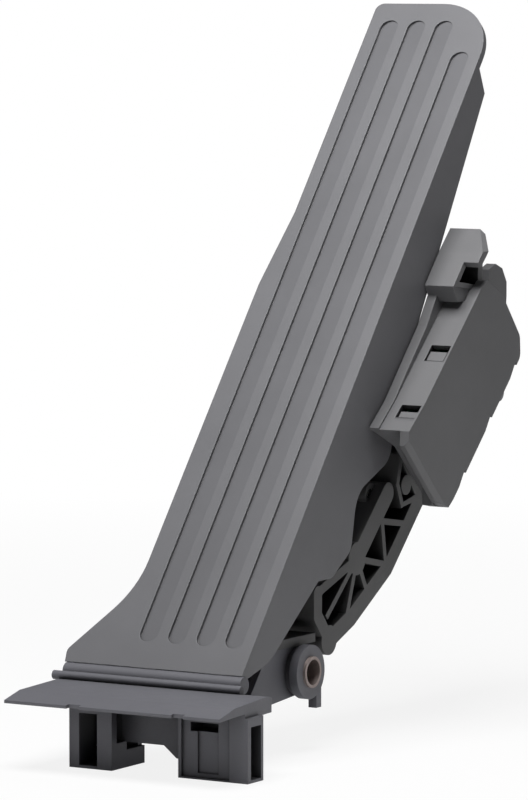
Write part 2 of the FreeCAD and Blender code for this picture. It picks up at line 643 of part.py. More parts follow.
def add_left_foot(body):
    out, inn = -size("left_foot_out"), -size("left_foot_in")
    deep, wall = size("left_foot_deep"), size("left_foot_wall")
    top = size("deck_low_z") + 0.5
    pad_box(body, "left_foot", out, inn, 0.0, deep, 0.0, top)
    floor = size("foot_floor")
    window_in = -size("left_window_in")
    cut_box(body, "left_window", out + wall, window_in, -0.1, deep - 1.6, floor, size("left_window_top"))
    cut_box(body, "left_side_window", window_in - 0.1, inn + 0.1, size("side_window_front"),
            size("side_window_back"), size("side_window_low"), size("left_window_top") + 1.0)
    cut_box(body, "left_tail", out - 0.1, inn + 0.1, size("tail_front"), deep + 0.1,
            size("tail_top"), size("deck_low_z") - 1.6)


def add_right_foot(body):
    inn, out = size("right_foot_in"), size("right_foot_out")
    deep = size("right_foot_deep")
    top = size("deck_low_z") + 0.5
    pad_box(body, "right_foot", inn, out, 0.0, deep, 0.0, top)
    sink = size("panel_sink")
    floor = size("foot_floor")
    one, two, three = size("step_one"), size("step_two"), size("step_three")
    cut_box(body, "panel_outer", inn + size("step_in"), three, -0.1, sink, floor - 0.4, top)
    cut_box(body, "panel_inner", one, two, -0.1, sink * 1.8, floor + 1.0, size("panel_window_low"))
    cut_box(body, "panel_window", size("panel_window_in"), two, -0.1, deep - 1.6,
            size("panel_window_low"), size("panel_window_top"))
    cut_box(body, "side_slot", out - size("side_slot_deep"), out + 0.1, size("side_slot_front"),
            size("side_slot_back"), floor, size("left_window_top"))


def add_tie(body):
    front = size("tie_y")
    low, top = size("tie_low"), size("deck_low_z") + 0.5
    left, right = -size("left_foot_in") - 1.0, size("right_foot_in") + 1.0
    back = front + size("tie_thick")
    pad_box(body, "tie", left, right, front, back, low, top)
    slope, end = size("tie_slope_x"), size("tie_slope_end_x")
    steps = 4
    for step in range(steps):
        start = slope + (end - slope) * ((step + 1.0) / steps)
        level = low - (low - size("tie_slope_end_z")) * ((step + 1.0) / steps)
        pad_box(body, f"tie_slope_{step + 1}", start, right, front, back, level, low + 0.5)


def add_keel(body):
    """The tunnel behind the hinge, which carries the floor pin's barrel and the carrier's seat."""
    half = size("keel_half")
    seat = size("seat_low_z")
    outline = [
        (size("neck_front_y"), size("deck_low_z")),
        spot("keel_low"),
        (size("pin_bore_y"), size("keel_back_z")),
        (size("pin_bore_y") + 1.0, seat),
        (size("seat_front_y"), seat),
        spot("keel_ramp"),
        (size("neck_front_y"), size("keel_ramp_z")),
    ]
    pad_across(body, "keel", outline, half * 2)
    wall = size("keel_wall")
    cell_low, cell_high = size("keel_cell_low_y"), size("keel_cell_high_y")
    top = size("keel_cell_top")
    for name, left, right in (("left", wall - half, -wall / 2), ("right", wall / 2, half - wall)):
        cell = [
            (cell_low, size("keel_low_z") - 1.0), (cell_high, size("keel_low_z") - 1.0),
            (cell_high, top), (size("keel_ramp_y") + 7.0, top), (cell_low, size("keel_ramp_z") - wall),
        ]
        cut_outline(body, "keel_cell_" + name, cell, left, right)
    centre = spot("pin_bore")
    end = size("barrel_half")
    pad_disc(body, "barrel", centre, size("barrel_radius"), -end, end)
    flare = size("barrel_flare_long")
    pad_disc(body, "barrel_rim", centre, size("barrel_flare"), end - flare, end)
    nib_y, nib_half = size("nib_y"), size("nib_thick") / 2
    nib = [(nib_y - nib_half, size("nib_low_z")), (nib_y + nib_half, size("nib_low_z")),
           (nib_y + nib_half, size("pin_bore_z")), (nib_y - nib_half, size("pin_bore_z"))]
    pad_outline(body, "nib", nib, end - size("nib_long"), end)
    cut_disc(body, "barrel_bore", centre, size("sleeve_radius"), -end - 0.1, end + 0.1)
    for name, side in (("left", -1.0), ("right", 1.0)):
        place = (size("seat_screw_x") * side, size("seat_screw_y"))
        cut_disc(body, "seat_hole_" + name, place, size("screw_radius"),
                 seat - size("seat_screw_long") + size("seat_thick"), seat + 0.1, "XY_Plane")


def add_hinge_bead(body):
    left, right = -size("hinge_left"), size("hinge_right")
    neck = box_points(size("neck_front_y"), size("neck_back_y"), size("deck_low_z"), size("hinge_z"))
    pad_outline(body, "neck", neck, left, right)
    pad_disc(body, "bead", spot("hinge"), size("bead_radius"), left, right)
    pad_disc(body, "rail", spot("rail"), size("rail_radius"), -size("rail_left"), size("rail_right"))


def make_carrier(doc):
    body = new_body(doc, "carrier_frame")
    width = size("carrier_half") * 2
    add_truss(body, width)
    add_trough(body)
    add_cheeks(body)
    add_seat(body)
    add_stop_saddle(body, width)
    return body


def add_truss(body, width):
    pad_across(body, "web", spots("low_top", "low_mid", "chord_foot", "chord_low", "chord_mid",
                                  "chord_top", "cell_top", "cell_mid", "arm_top", "hub", "link"),
               size("web_thick"))
    chord, low, arm, rib = (size(n) for n in ("chord_thick", "low_chord_thick", "arm_thick", "truss_rib"))
    members = (
        ("chord_a", "chord_foot", "chord_low", chord),
        ("chord_b", "chord_low", "chord_mid", chord),
        ("chord_c", "chord_mid", "chord_top", chord),
        ("low_chord_a", "low_top", "low_mid", low),
        ("low_chord_b", "low_mid", "chord_foot", low),
        ("arm", "hub", "arm_top", arm),
        ("link", "link", "hub", rib * 1.6),
        ("link_end", "low_top", "link", rib * 1.6),
        ("rib_a", "hub", "rib_a", rib),
        ("rib_b", "hub", "rib_b", rib),
        ("rib_c", "hub", "rib_c", rib),
        ("rib_d", "hub", "rib_d", rib),
        ("rib_e", "arm_mid", "rib_d", rib),
        ("rib_f", "arm_mid", "rib_e", rib),
        ("cell_left", "cell_mid", "cell_top", rib),
        ("cell_foot", "cell_low", "cell_mid", rib),
        ("cell_right", "cell_top", "chord_top", rib),
    )
    for name, start, end, thick in members:
        pad_across(body, "truss_" + name, strip(spot(start), spot(end), thick), width)
    half = size("carrier_half")
    joints = (
        ("hub", size("hub_radius")), ("chord_foot", size("chord_foot_round")), ("chord_low", chord / 2),
        ("chord_mid", chord / 2), ("chord_top", chord / 2), ("low_mid", low / 2),
        ("low_top", low / 2), ("arm_top", arm / 2), ("cell_mid", rib / 2), ("cell_top", rib / 2),
        ("boss", size("boss_radius")),
    )
    for name, radius in joints:
        pad_disc(body, "joint_" + name, spot(name), radius, -half, half)
    cut_disc(body, "boss_bore", spot("boss"), size("boss_hole"), half - 12.0, half + 0.1)


def add_trough(body):
    """Room for the lever to swing down between the truss's upper walls."""
    low, high, top = spot("trough_low"), spot("trough_high"), size("trough_top_z")
    outline = [low, high, (high[0], top), (low[0], top)]
    half = size("trough_half")
    cut_outline(body, "lever_trough", outline, -half, half)


def add_cheeks(body):
    half, thick = size("carrier_half"), size("cheek_thick")
    outline = spots("cheek_front", "cheek_brow", "cheek_crest", "cheek_back", "cheek_heel",
                    "cheek_low", "chord_top", "cell_low", "cell_mid", "cell_top")
    for name, low, high in (("left", -half, thick - half), ("right", half - thick, half)):
        pad_outline(body, "cheek_" + name, outline, low, high)
    span = (half - thick / 2) * 2
    pad_across(body, "back_wall", strip(spot("wall_low"), spot("wall_high"), size("wall_thick")), span)
    bar = box_points(size("bar_front_y"), size("bar_back_y"), size("bar_low_z"), size("bar_high_z"))
    pad_across(body, "stop_bar", bar, span)
    bore = size("shaft_radius") + size("bush_wall") + size("bush_play")
    cut_disc(body, "bush_bores", spot("pivot"), bore, -half - 0.1, half + 0.1)
    for name in ("screw_a", "screw_b", "screw_c"):
        pad_disc(body, "stud_" + name, spot(name), size("stud_radius"), half - 1.0, size("housing_inner"))
        cut_disc(body, "stud_bore_" + name, spot(name), size("screw_radius"), half - thick - 0.1,
                 size("housing_inner") + 0.1)


def add_seat(body):
    low, thick = size("seat_low_z"), size("seat_thick")
    plate = box_points(size("seat_front_y"), size("low_mid_y"), low, low + thick)
    pad_across(body, "seat", plate, size("seat_half") * 2)
    for name, side in (("left", -1.0), ("right", 1.0)):
        place = (size("seat_screw_x") * side, size("seat_screw_y"))
        cut_disc(body, "seat_bore_" + name, place, size("screw_radius"), low - 0.1, low + thick + 0.1,
                 "XY_Plane")


def add_stop_saddle(body, width):
    half = size("carrier_half")
    centre = spot("stop")
    boss_half = size("stop_boss_half")
    pad_disc(body, "stop_boss", centre, size("stop_boss"), -boss_half, boss_half)
    cut_disc(body, "stop_bore", centre, size("stop_radius"), -boss_half, boss_half)
    reach = size("stop_boss") + 2.0
    open_half = size("stop_open_half")
    run, rise = spot("arm_top")[0] - spot("hub")[0], spot("arm_top")[1] - spot("hub")[1]
    long = root(run * run + rise * rise)
    way, side = (run / long, rise / long), (-rise / long, run / long)
    corners = []
    for along, out in ((-1.0, 0.0), (1.0, 0.0), (1.0, 1.0), (-1.0, 1.0)):
        corners.append((
            centre[0] + way[0] * reach * along + side[0] * reach * out,
            centre[1] + way[1] * reach * along + side[1] * reach * out,
        ))
    cut_outline(body, "stop_saddle", corners, -open_half, open_half)


def make_housing(doc):
    body = new_body(doc, "sensor_housing")
    inner, parting = size("housing_inner"), size("parting")
    pad_outline(body, "tray", tray_outline(), inner, parting)
    add_socket(body)
    pivot = spot("pivot")
    room, end = size("rotor_room"), size("rotor_end")
    pad_disc(body, "rotor_wall", pivot, room + size("rotor_wall"), inner, end)
    floor = inner + size("housing_wall")
    cut_disc(body, "rotor_room", pivot, room, floor, size("rotor_cap"))
    cut_outline(body, "cavity", cavity_outline(), floor, end + 0.1)
    cut_disc(body, "shaft_hole", pivot, size("seal_radius"), inner - 0.1, parting)
    for name in ("screw_a", "screw_b", "screw_c"):
        cut_disc(body, "bore_" + name, spot(name), size("screw_radius"), inner - 0.1, parting + 0.1)
    for name in ("slot_a", "slot_b"):
        add_tongue(body, name)
    return body


def tray_outline():
    """The housing's flat inner half, which stands a little ahead of the cover's front face."""
    way = front_way()
    ahead = size("tray_ahead")
    low = spot("front_low")
    return [
        (low[0] - way[1] * ahead, low[1] + way[0] * ahead),
        (spot("front_mid")[0] - way[1] * ahead, spot("front_mid")[1] + way[0] * ahead),
        spot("tray_top"),
        *spots("tray_notch", "front_top", "brow", "crown", "ear_low", "ear_a", "ear_b", "ear_c", "ear_d",
               "flange_high", "flange_back", "flange_low", "under_back", "under_front"),
    ]


def cavity_outline():
    return spots("cavity_a", "cavity_b", "cavity_c", "cavity_d", "cavity_e", "cavity_f", "cavity_g",
                 "cavity_h")


def shell_outline():
    return spots("front_low", "front_mid", "front_top", "brow", "crown", "back_top", "back_high",
                 "back_low", "under_cover")


def front_way():
    """The direction up the housing's front face, as two shares of a length."""
    low, high = spot("front_mid"), spot("front_top")
    run, rise = high[0] - low[0], high[1] - low[1]
    long = root(run * run + rise * rise)
    return run / long, rise / long


def snap_block(name, low, high, sink, thick):
    """A block in the housing's front face, from low to high along it and sunk behind it."""
    way = front_way()
    base = on_front(name)
    corners = []
    for along, deep in ((low, sink), (high, sink), (high, sink + thick), (low, sink + thick)):
        corners.append((
            base[0] + way[0] * along + way[1] * deep,
            base[1] + way[1] * along - way[0] * deep,
        ))
    return corners


def on_front(name):
    """The place on the front face at the height of a snap slot."""
    low, high = spot("front_mid"), spot("front_top")
    share = (spot(name)[1] - low[1]) / (high[1] - low[1])
    return low[0] + (high[0] - low[0]) * share, spot(name)[1]


def add_tongue(body, name):
    """A snap arm inside the cover's front wall, whose hook fills the lower part of its window."""
    half, gap = size("snap_high") / 2, size("snap_gap")
    low, high = gap - half, half - size("snap_shade")
    wall = size("cover_wall")
    right = size("snap_right") - gap
    arm = snap_block(name, low, high, wall + 0.3, 1.6)
    pad_outline(body, "arm_" + name, arm, size("housing_inner") + 1.0, size("cover_outer") - wall - 0.3)
    hook = snap_block(name, low, high, 0.4, wall + 0.2)
    pad_outline(body, "hook_" + name, hook, size("snap_left") + gap, right)


def socket_outline():
    return spots("socket_low", "socket_mid", "socket_top", "socket_brow", "socket_back", "socket_end",
                 "front_top")


def add_socket(body):
    inner, right = size("housing_inner"), size("socket_right")
    pad_outline(body, "socket", socket_outline(), inner, right)
    clip = [spot("socket_low"), spot("clip_low"), (size("clip_back_y"), size("clip_low_z")),
            spot("front_top")]
    pad_outline(body, "clip", clip, inner, size("clip_right"))
    hood = spots("hood_low", "socket_mid", "socket_top", "socket_brow", "hood_back", "hood_in")
    far = size("hood_right")
    pad_outline(body, "hood", hood, right - 1.0, far)
    mouth = spots("mouth_low", "mouth_top", "mouth_back", "mouth_end")
    cut_outline(body, "mouth", mouth, size("socket_floor"), right + 0.1)
    top, mid = size("socket_top_z"), size("socket_mid_z")
    slope = [(size("hood_top_right"), top + 0.1), (far + 0.1, mid), (far + 0.1, top + 0.1)]
    sketch = new_sketch(body, "hood_slope_sketch", "XZ_Plane", 0.0)
    draw_outline(sketch, slope)
    add_pocket(body, "hood_slope", sketch, size("socket_back_y") * 2 + 4.0, symmetric=True)


def make_cover(doc):
    body = new_body(doc, "housing_cover")
    parting, outer, plate = size("parting"), size("cover_outer"), size("plate_start")
    shell = pad_outline(body, "shell", shell_outline(), parting, outer)
    block = round_edges(body, "shell_back", shell, 0, spots("back_top", "back_high"), size("case_round"))
    round_edges(body, "shell_top", block, 0, spots("brow", "crown"), size("case_small_round"))
    skirt = spots("front_low", "front_edge", "base_front", "base_back", "back_low", "under_cover")
    skirt.append(spot("front_mid"))
    pad_outline(body, "plate_skirt", skirt, plate, outer)
    front, low = size("sill_front_y"), size("sill_low_z")
    sill = [(front, size("sill_top_z")), (front, low), spot("base_back"), spot("back_low"),
            (size("back_low_y"), size("sill_top_z"))]
    sill_pad = pad_outline(body, "sill", sill, size("sill_start"), plate)
    doc.recompute()
    edge = longest_edge_at(sill_pad.Shape, outer.value, spot("front_edge"), spot("base_front"))
    bevel = body.newObject("PartDesign::Chamfer", "bevel")
    bevel.Base = (sill_pad, [edge])
    bevel.Size = SIZES["cover_bevel"]
    bind(bevel, "Size", size("cover_bevel"))
    cut_outline(body, "hollow", cavity_outline(), parting - 0.1, outer - size("cover_wall"))
    rotor = size("rotor_room") + size("rotor_wall") + 0.15
    cut_disc(body, "rotor_gap", spot("pivot"), rotor, parting - 0.1, size("rotor_end") + 0.2)
    cut_outline(body, "socket_gap", socket_outline(), parting - 0.1, size("socket_right") + 0.3)
    clip = [spot("socket_low"), spot("clip_low"), (size("clip_back_y"), size("clip_low_z")),
            spot("front_top")]
    cut_outline(body, "clip_gap", clip, parting - 0.1, size("clip_right") + 0.3)
    half = size("snap_high") / 2
    for name in ("slot_a", "slot_b"):
        window = snap_block(name, -half, half, -0.5, 3.0)
        cut_outline(body, "window_" + name, window, size("snap_left"), size("snap_right"))
    for name in ("notch_a", "notch_b", "notch_c"):
        cut_notch(body, name)
    return body


def longest_edge_at(shape, level, start, end):
    """The edge at a level of X that runs between two places of the side view."""
    a = FreeCAD.Vector(level, start[0].value, start[1].value)
    b = FreeCAD.Vector(level, end[0].value, end[1].value)
    middle = (a + b) * 0.5
    best = min(enumerate(shape.Edges, start=1), key=lambda item: (item[1].CenterOfMass - middle).Length)
    return f"Edge{best[0]}"


def cut_notch(body, name):
    """A wedge-shaped notch in the cover's back edge, steep at its upper end."""
    low, high = spot("back_low"), spot("back_high")
    run, rise = high[0] - low[0], high[1] - low[1]
    long = root(run * run + rise * rise)
    way = (run / long, rise / long)
    share = (spot(name)[1] - low[1]) / rise
    base = (low[0] + run * share, spot(name)[1])
    reach, sunk = size("notch_long"), size("notch_sunk")
    corners = []
    for along, out in ((0.0, 1.0), (0.0, -1.0), (-1.0, 0.0), (-1.0, 1.0)):
        corners.append((
            base[0] + way[0] * reach * along + way[1] * sunk * out,
            base[1] + way[1] * reach * along - way[0] * sunk * out,
        ))
    cut_outline(body, name, corners, size("notch_start"), size("cover_outer") + 0.1)


def make_lever(doc):
    body = new_body(doc, "actuating_lever")
    pivot, eye = spot("pivot"), spot("pin")
    half, hub_half = size("lever_half"), size("lever_hub_half")
    arm = taper(pivot, eye, size("lever_root"), size("lever_tip"))
    pad_across(body, "arm", arm, half * 2)
    pad_disc(body, "hub", pivot, size("lever_hub"), -hub_half, hub_half)
    pad_disc(body, "eye", eye, size("lever_eye"), -half, half)
    recess = size("lever_recess")
    rim = size("lever_rim") * 2
    start = part_way(pivot, eye, 0.17)
    end = part_way(pivot, eye, 0.88)
    window = taper(start, end, size("lever_root") - rim - 1.0, size("lever_tip") - rim)
    cut_outline(body, "recess_right", window, half - recess, half + 0.1)
    cut_outline(body, "recess_left", window, -half - 0.1, recess - half)
    cut_disc(body, "shaft_bore", pivot, size("shaft_radius"), -hub_half - 0.1, hub_half + 0.1)
    cut_disc(body, "pin_bore", eye, size("pin_radius"), -half - 0.1, half + 0.1)
    lug = taper(part_way(pivot, eye, 0.21), part_way(pivot, eye, 0.27), size("lever_rim"), size("lever_rim"))
    pad_across(body, "spring_lug", lug, (size("coil_start") + size("coil_pitch") * 2) * 2)
    return body


def part_way(start, end, share):
    return start[0] + (end[0] - start[0]) * share, start[1] + (end[1] - start[1]) * share


def taper(start, end, wide, narrow):
    run, rise = end[0] - start[0], end[1] - start[1]
    long = root(run * run + rise * rise)
    side = (-rise / long, run / long)
    return [
        (start[0] + side[0] * wide / 2, start[1] + side[1] * wide / 2),
        (end[0] + side[0] * narrow / 2, end[1] + side[1] * narrow / 2),
        (end[0] - side[0] * narrow / 2, end[1] - side[1] * narrow / 2),
        (start[0] - side[0] * wide / 2, start[1] - side[1] * wide / 2),
    ]


def make_shaft(doc):
    body = new_body(doc, "pivot_shaft")
    radius, end_radius = size("shaft_radius"), size("shaft_end_radius")
    left, right, end = -size("shaft_left"), size("shaft_right"), size("shaft_end")
    revolve(body, "turned", [(left, 0.0), (end, 0.0), (end, end_radius), (right, end_radius),
                             (right, radius), (left, radius)], spot("pivot"))
    return body


def make_bush(doc, label, side):
    body = new_body(doc, label)
    inner = size("shaft_radius") + size("bush_play")
    outer = inner + size("bush_wall")
    flange = size("bush_flange")
    face = size("carrier_half") - size("cheek_thick")
    end, lip = size("carrier_half"), size("carrier_half") - size("cheek_thick") - size("bush_flange_thick")
    revolve(body, "turned", [
        (lip * side, inner), (end * side, inner), (end * side, outer),
        (face * side, outer), (face * side, flange), (lip * side, flange),
    ], spot("pivot"))
    return body


def make_pin(doc):
    body = new_body(doc, "guide_pin")
    half = size("pin_half")
    pad_disc(body, "rod", spot("pin"), size("pin_radius"), -half, half)
    return body


def make_stop_pin(doc):
    body = new_body(doc, "stop_pin")
    half = size("stop_half")
    pad_disc(body, "rod", spot("stop"), size("stop_radius"), -half, half)
    return body


def make_stop_pad(doc):
    body = new_body(doc, "idle_stop_pad")
    top = size("bar_low_z")
    points = box_points(size("bar_front_y") + 0.6, size("bar_back_y") - 0.6, top - size("pad_thick"), top)
    pad_across(body, "pad", points, size("pad_half") * 2)
    return body


def make_sleeve(doc):
    body = new_body(doc, "mounting_sleeve")
    half = size("sleeve_half")
    inner, outer = size("sleeve_bore"), size("sleeve_radius")
    revolve(body, "turned", [(-half, inner), (half, inner), (half, outer), (-half, outer)], spot("pin_bore"))
    return body


def make_screws(doc, label, parts):
    group = doc.addObject("Part::Compound", label)
    group.Label = label
    group.Links = parts
    bind(group, "Placement.Base.y", -size("pin_bore_y"))
    bind(group, "Placement.Base.z", -size("pin_bore_z"))
    return group


def make_screw(doc, name, place, turn, shank, head_thick):
    """A plain screw: its head's underside lies at the place and its shank points along turn."""
    rod = doc.addObject("Part::Cylinder", name + "_shank")
    head = doc.addObject("Part::Cylinder", name + "_head")
    rod.Radius, head.Radius = SIZES["screw_radius"], SIZES["screw_head"]
    bind(rod, "Radius", size("screw_radius"))
    bind(head, "Radius", size("screw_head"))
    rod.Height, head.Height = shank.value, head_thick.value
    bind(rod, "Height", shank)
    bind(head, "Height", head_thick)
    for item, shift in ((rod, 0.0), (head, -1.0)):
        rotation = FreeCAD.Rotation(FreeCAD.Vector(0, 0, 1), FreeCAD.Vector(*turn))
        item.Placement = FreeCAD.Placement(FreeCAD.Vector(0, 0, 0), rotation)
        for axis, letter in enumerate("xyz"):
            bind(item, f"Placement.Base.{letter}", place[axis] + head_thick * (turn[axis] * shift))
    screw = doc.addObject("Part::Fuse", name)
    screw.Base, screw.Tool = rod, head
    return screw


def make_housing_screws(doc):
    shank = size("parting") - size("carrier_half") + size("cheek_thick") - 0.4
    screws = []
    for name in ("screw_a", "screw_b", "screw_c"):
        place = (size("parting"), *spot(name))
        screws.append(make_screw(doc, name, place, (-1, 0, 0), shank, size("screw_head_thick")))
    return make_screws(doc, "housing_screws", screws)


def make_seat_screws(doc):
    screws = []
    top = size("seat_low_z") + size("seat_thick")
    for name, side in (("seat_screw_left", -1.0), ("seat_screw_right", 1.0)):
        place = (size("seat_screw_x") * side, size("seat_screw_y"), top)
        shank = size("seat_screw_long") - 0.4
        screws.append(make_screw(doc, name, place, (0, 0, -1), shank, size("screw_head_thick")))
    return make_screws(doc, "carrier_screws", screws)


def make_holder(doc):
    body = new_body(doc, "magnet_holder")
    start, thick = size("rotor_start"), size("holder_thick")
    inner = size("shaft_end_radius")
    end = size("shaft_end")
    revolve(body, "turned", [
        (size("shaft_right"), inner), (end, inner), (end, inner + 1.2),
        (start + thick, inner + 1.2), (start + thick, size("holder_radius")),
        (start, size("holder_radius")), (start, size("shaft_radius")),
        (size("shaft_right"), size("shaft_radius")),
    ], spot("pivot"))
    return body


def make_magnet(doc):
    body = new_body(doc, "ring_magnet")
    start = size("rotor_start") + size("holder_thick")
    end = start + size("magnet_thick")
    inner, outer = size("magnet_bore"), size("holder_radius")
    revolve(body, "turned", [(start, inner), (end, inner), (end, outer), (start, outer)], spot("pivot"))
    return body


def make_board(doc):
    body = new_body(doc, "circuit_board")
    low = size("board_low")
    way, inset = front_way(), size("board_inset")
    front = [(y + way[1] * inset, z - way[0] * inset) for y, z in spots("cavity_a", "cavity_b")]
    outline = front + spots("cavity_c", "cavity_d", "cavity_e", "cavity_f")
    high = low + size("board_thick")
    pad_outline(body, "board", outline, low, high)
    pad_disc(body, "ear", spot("pivot"), size("board_ear"), low, high)
    return body


def make_chips(doc):
    body = new_body(doc, "hall_chips")
    top = size("board_low")
    low = top - size("chip_thick")
    half, apart = size("chip_wide") / 2, size("chip_apart")
    centre = spot("pivot")
    sketch = new_sketch(body, "chips_sketch", "YZ_Plane", low)
    for side in (-1.0, 1.0):
        middle = centre[1] + apart * side
        draw_outline(sketch, box_points(centre[0] - half - 0.5, centre[0] + half - 0.5,
                                        middle - half, middle + half))
    add_pad(body, "chips", sketch, top - low)
    return body


def make_seal(doc):
    body = new_body(doc, "shaft_seal")
    inner = size("shaft_radius") + size("seal_play")
    low = size("housing_inner")
    high = low + size("housing_wall")
    outer = size("seal_radius")
    revolve(body, "turned", [(low, inner), (high, inner), (high, outer), (low, outer)], spot("pivot"))
    return body


def make_terminals(doc):
    body = new_body(doc, "socket_terminals")
    low, high = size("socket_floor"), size("terminal_end")
    half = size("terminal_wide") / 2
    sketch = new_sketch(body, "terminals_sketch", "YZ_Plane", low)
    for step in range(int(SIZES["terminal_count"])):
        y = size("terminal_y") + size("terminal_step_y") * step
        z = size("terminal_z") + size("terminal_step_z") * step
        draw_outline(sketch, box_points(y - half, y + half, z - half, z + half))
    add_pad(body, "terminals", sketch, high - low)
    return body


def spring_shape():
    """The right-hand torsion spring about its own coil: a short helix and two straight legs."""
    pitch, turns = SIZES["coil_pitch"], SIZES["coil_turns"]
    leg = SIZES["spring_leg"]
    helix = Part.makeHelix(pitch, pitch * turns, SIZES["coil_radius"])
    edge = helix.Edges[0]
    start, end = edge.valueAt(edge.FirstParameter), edge.valueAt(edge.LastParameter)
    start_way, end_way = edge.tangentAt(edge.FirstParameter), edge.tangentAt(edge.LastParameter)
    low_leg = Part.LineSegment(start - start_way * leg, start).toShape()
    high_leg = Part.LineSegment(end, end + end_way * leg).toShape()
    path = Part.Wire([low_leg, *helix.Edges, high_leg])
    ring = Part.Circle(start - start_way * leg, start_way, SIZES["wire_radius"])
    return path.makePipeShell([Part.Wire([ring.toShape()])], True, True)


def make_spring(doc, label, mirrored):
    """One of the two springs round the lever's shaft, at its own side of the lever."""
    shape = spring_shape()
    lay = FreeCAD.Rotation(FreeCAD.Vector(0, 0, 1), FreeCAD.Vector(1, 0, 0))
    spin = FreeCAD.Rotation(FreeCAD.Vector(1, 0, 0), SIZES["spring_turn"])
    shift = FreeCAD.Vector(SIZES["coil_start"], 0, 0)
    shape = shape.transformed(FreeCAD.Placement(shift, spin.multiply(lay)).toMatrix())
    if mirrored:
        shape = shape.mirror(FreeCAD.Vector(0, 0, 0), FreeCAD.Vector(1, 0, 0))
    feature = doc.addObject("Part::Feature", label)
    feature.Label = label
    feature.Shape = shape
    bind(feature, "Placement.Base.y", size("pivot_y") - size("pin_bore_y"))
    bind(feature, "Placement.Base.z", size("pivot_z") - size("pin_bore_z"))
    return feature


def check_document(doc, pieces):
    faults = [item.Name for item in doc.Objects if {"Invalid", "Error"} & set(item.State)]
    for piece in pieces:
        if piece.Shape.isNull() or not piece.Shape.isValid() or not piece.Shape.Solids:
            faults.append(piece.Label)
    if faults:
        raise ValueError("faults in " + ", ".join(faults))


def main():
    doc = FreeCAD.newDocument("accelerator_pedal")
    fill_sheet(doc)
    pieces = [
        make_treadle(doc),
        make_bracket(doc),
        make_sleeve(doc),
        make_carrier(doc),
        make_housing(doc),
        make_cover(doc),
        make_lever(doc),
        make_shaft(doc),
        make_bush(doc, "bearing_bush_left", -1.0),
        make_bush(doc, "bearing_bush_right", 1.0),
        make_pin(doc),
        make_stop_pin(doc),
        make_stop_pad(doc),
        make_housing_screws(doc),
        make_seat_screws(doc),
        make_holder(doc),
        make_magnet(doc),
        make_board(doc),
        make_chips(doc),
        make_seal(doc),
        make_terminals(doc),
        make_spring(doc, "return_spring_left", True),
        make_spring(doc, "return_spring_right", False),
    ]
    doc.recompute()
    check_document(doc, pieces)
    os.makedirs("parts", exist_ok=True)
    for piece in pieces:
        piece.Shape.exportStep(f"parts/{piece.Label}.step")


main()
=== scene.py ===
import math

import bmesh
import bpy
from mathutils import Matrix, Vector


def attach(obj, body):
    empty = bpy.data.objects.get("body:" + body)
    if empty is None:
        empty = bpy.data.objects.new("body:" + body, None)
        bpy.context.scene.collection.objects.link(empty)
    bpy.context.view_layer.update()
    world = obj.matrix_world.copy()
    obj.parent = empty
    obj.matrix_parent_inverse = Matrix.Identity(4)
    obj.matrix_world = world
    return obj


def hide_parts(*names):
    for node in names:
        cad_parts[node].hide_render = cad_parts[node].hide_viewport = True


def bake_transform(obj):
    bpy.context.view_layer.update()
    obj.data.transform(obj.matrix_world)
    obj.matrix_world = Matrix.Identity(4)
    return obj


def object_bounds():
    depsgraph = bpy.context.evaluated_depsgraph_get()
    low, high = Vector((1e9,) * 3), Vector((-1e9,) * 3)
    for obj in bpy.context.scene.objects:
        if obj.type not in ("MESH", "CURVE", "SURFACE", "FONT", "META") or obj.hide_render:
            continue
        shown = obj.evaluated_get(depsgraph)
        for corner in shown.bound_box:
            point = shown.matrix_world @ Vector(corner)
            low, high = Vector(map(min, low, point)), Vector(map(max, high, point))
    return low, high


bl_info = {
    "name": "Accelerator pedal",
    "version": (1, 0, 0),
    "blender": (4, 5, 0),
    "location": "3D View > Sidebar > Pedal",
    "description": "Dresses a floor-hinged accelerator pedal and lights it",
    "category": "Object",
}

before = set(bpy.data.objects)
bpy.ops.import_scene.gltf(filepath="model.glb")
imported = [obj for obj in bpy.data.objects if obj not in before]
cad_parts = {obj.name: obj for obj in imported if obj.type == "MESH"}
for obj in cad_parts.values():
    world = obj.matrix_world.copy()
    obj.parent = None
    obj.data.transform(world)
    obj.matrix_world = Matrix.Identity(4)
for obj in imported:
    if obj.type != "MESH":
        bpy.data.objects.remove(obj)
CAD_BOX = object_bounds()
MILLIMETRE = 0.001
WHITE = (1.0, 1.0, 1.0, 1.0)

# Shapes are given in millimetres: an outline as corners in the side view (Y, Z) or the front
# view (X, Z), and a span as where it starts and ends across that view.

# Walls that close the left foot behind its windows (side view).
FOOT_BACK = ((-47.0, -26.0), (-44.6, -26.0), (-44.6, -6.0), (-47.0, -6.0))
FOOT_BACK_SPAN = (-28.0, -13.5)
FOOT_SIDE = ((-62.5, -26.0), (-46.0, -26.0), (-46.0, -6.0), (-62.5, -6.0))
FOOT_SIDE_SPAN = (-28.6, -26.6)

# The slope under the tie between the feet (front view).
TIE_SLOPE = ((2.1, -18.5), (6.9, -22.4), (12.6, -22.4), (12.6, -18.0), (2.1, -18.0))
TIE_SPAN = (-56.0, -53.6)

# What is opened in the carrier's cheeks (side view): the upper cell round its boss, and the gap
# above it. A cut starts just past the skin, at the carrier's half width, and passes the cheek.
CARRIER_HALF = 20.5
PAST_SKIN = 0.5
PAST_CHEEK = 6.2
CELL_ROOM = ((67.1, 63.3), (65.0, 56.1), (67.9, 49.7), (76.0, 51.4))
CELL_BOSS = (69.9, 55.3)
BOSS_RADIUS = 3.4
BOSS_SIDES = 48
CHEEK_GAP = ((65.5, 67.3), (69.5, 75.5), (75.5, 71.5), (85.0, 58.5), (80.6, 51.4))

# How a copy of a CAD node is merged and shaded.
WELD = 0.002 * MILLIMETRE
SMOOTH_ANGLE = math.radians(30)

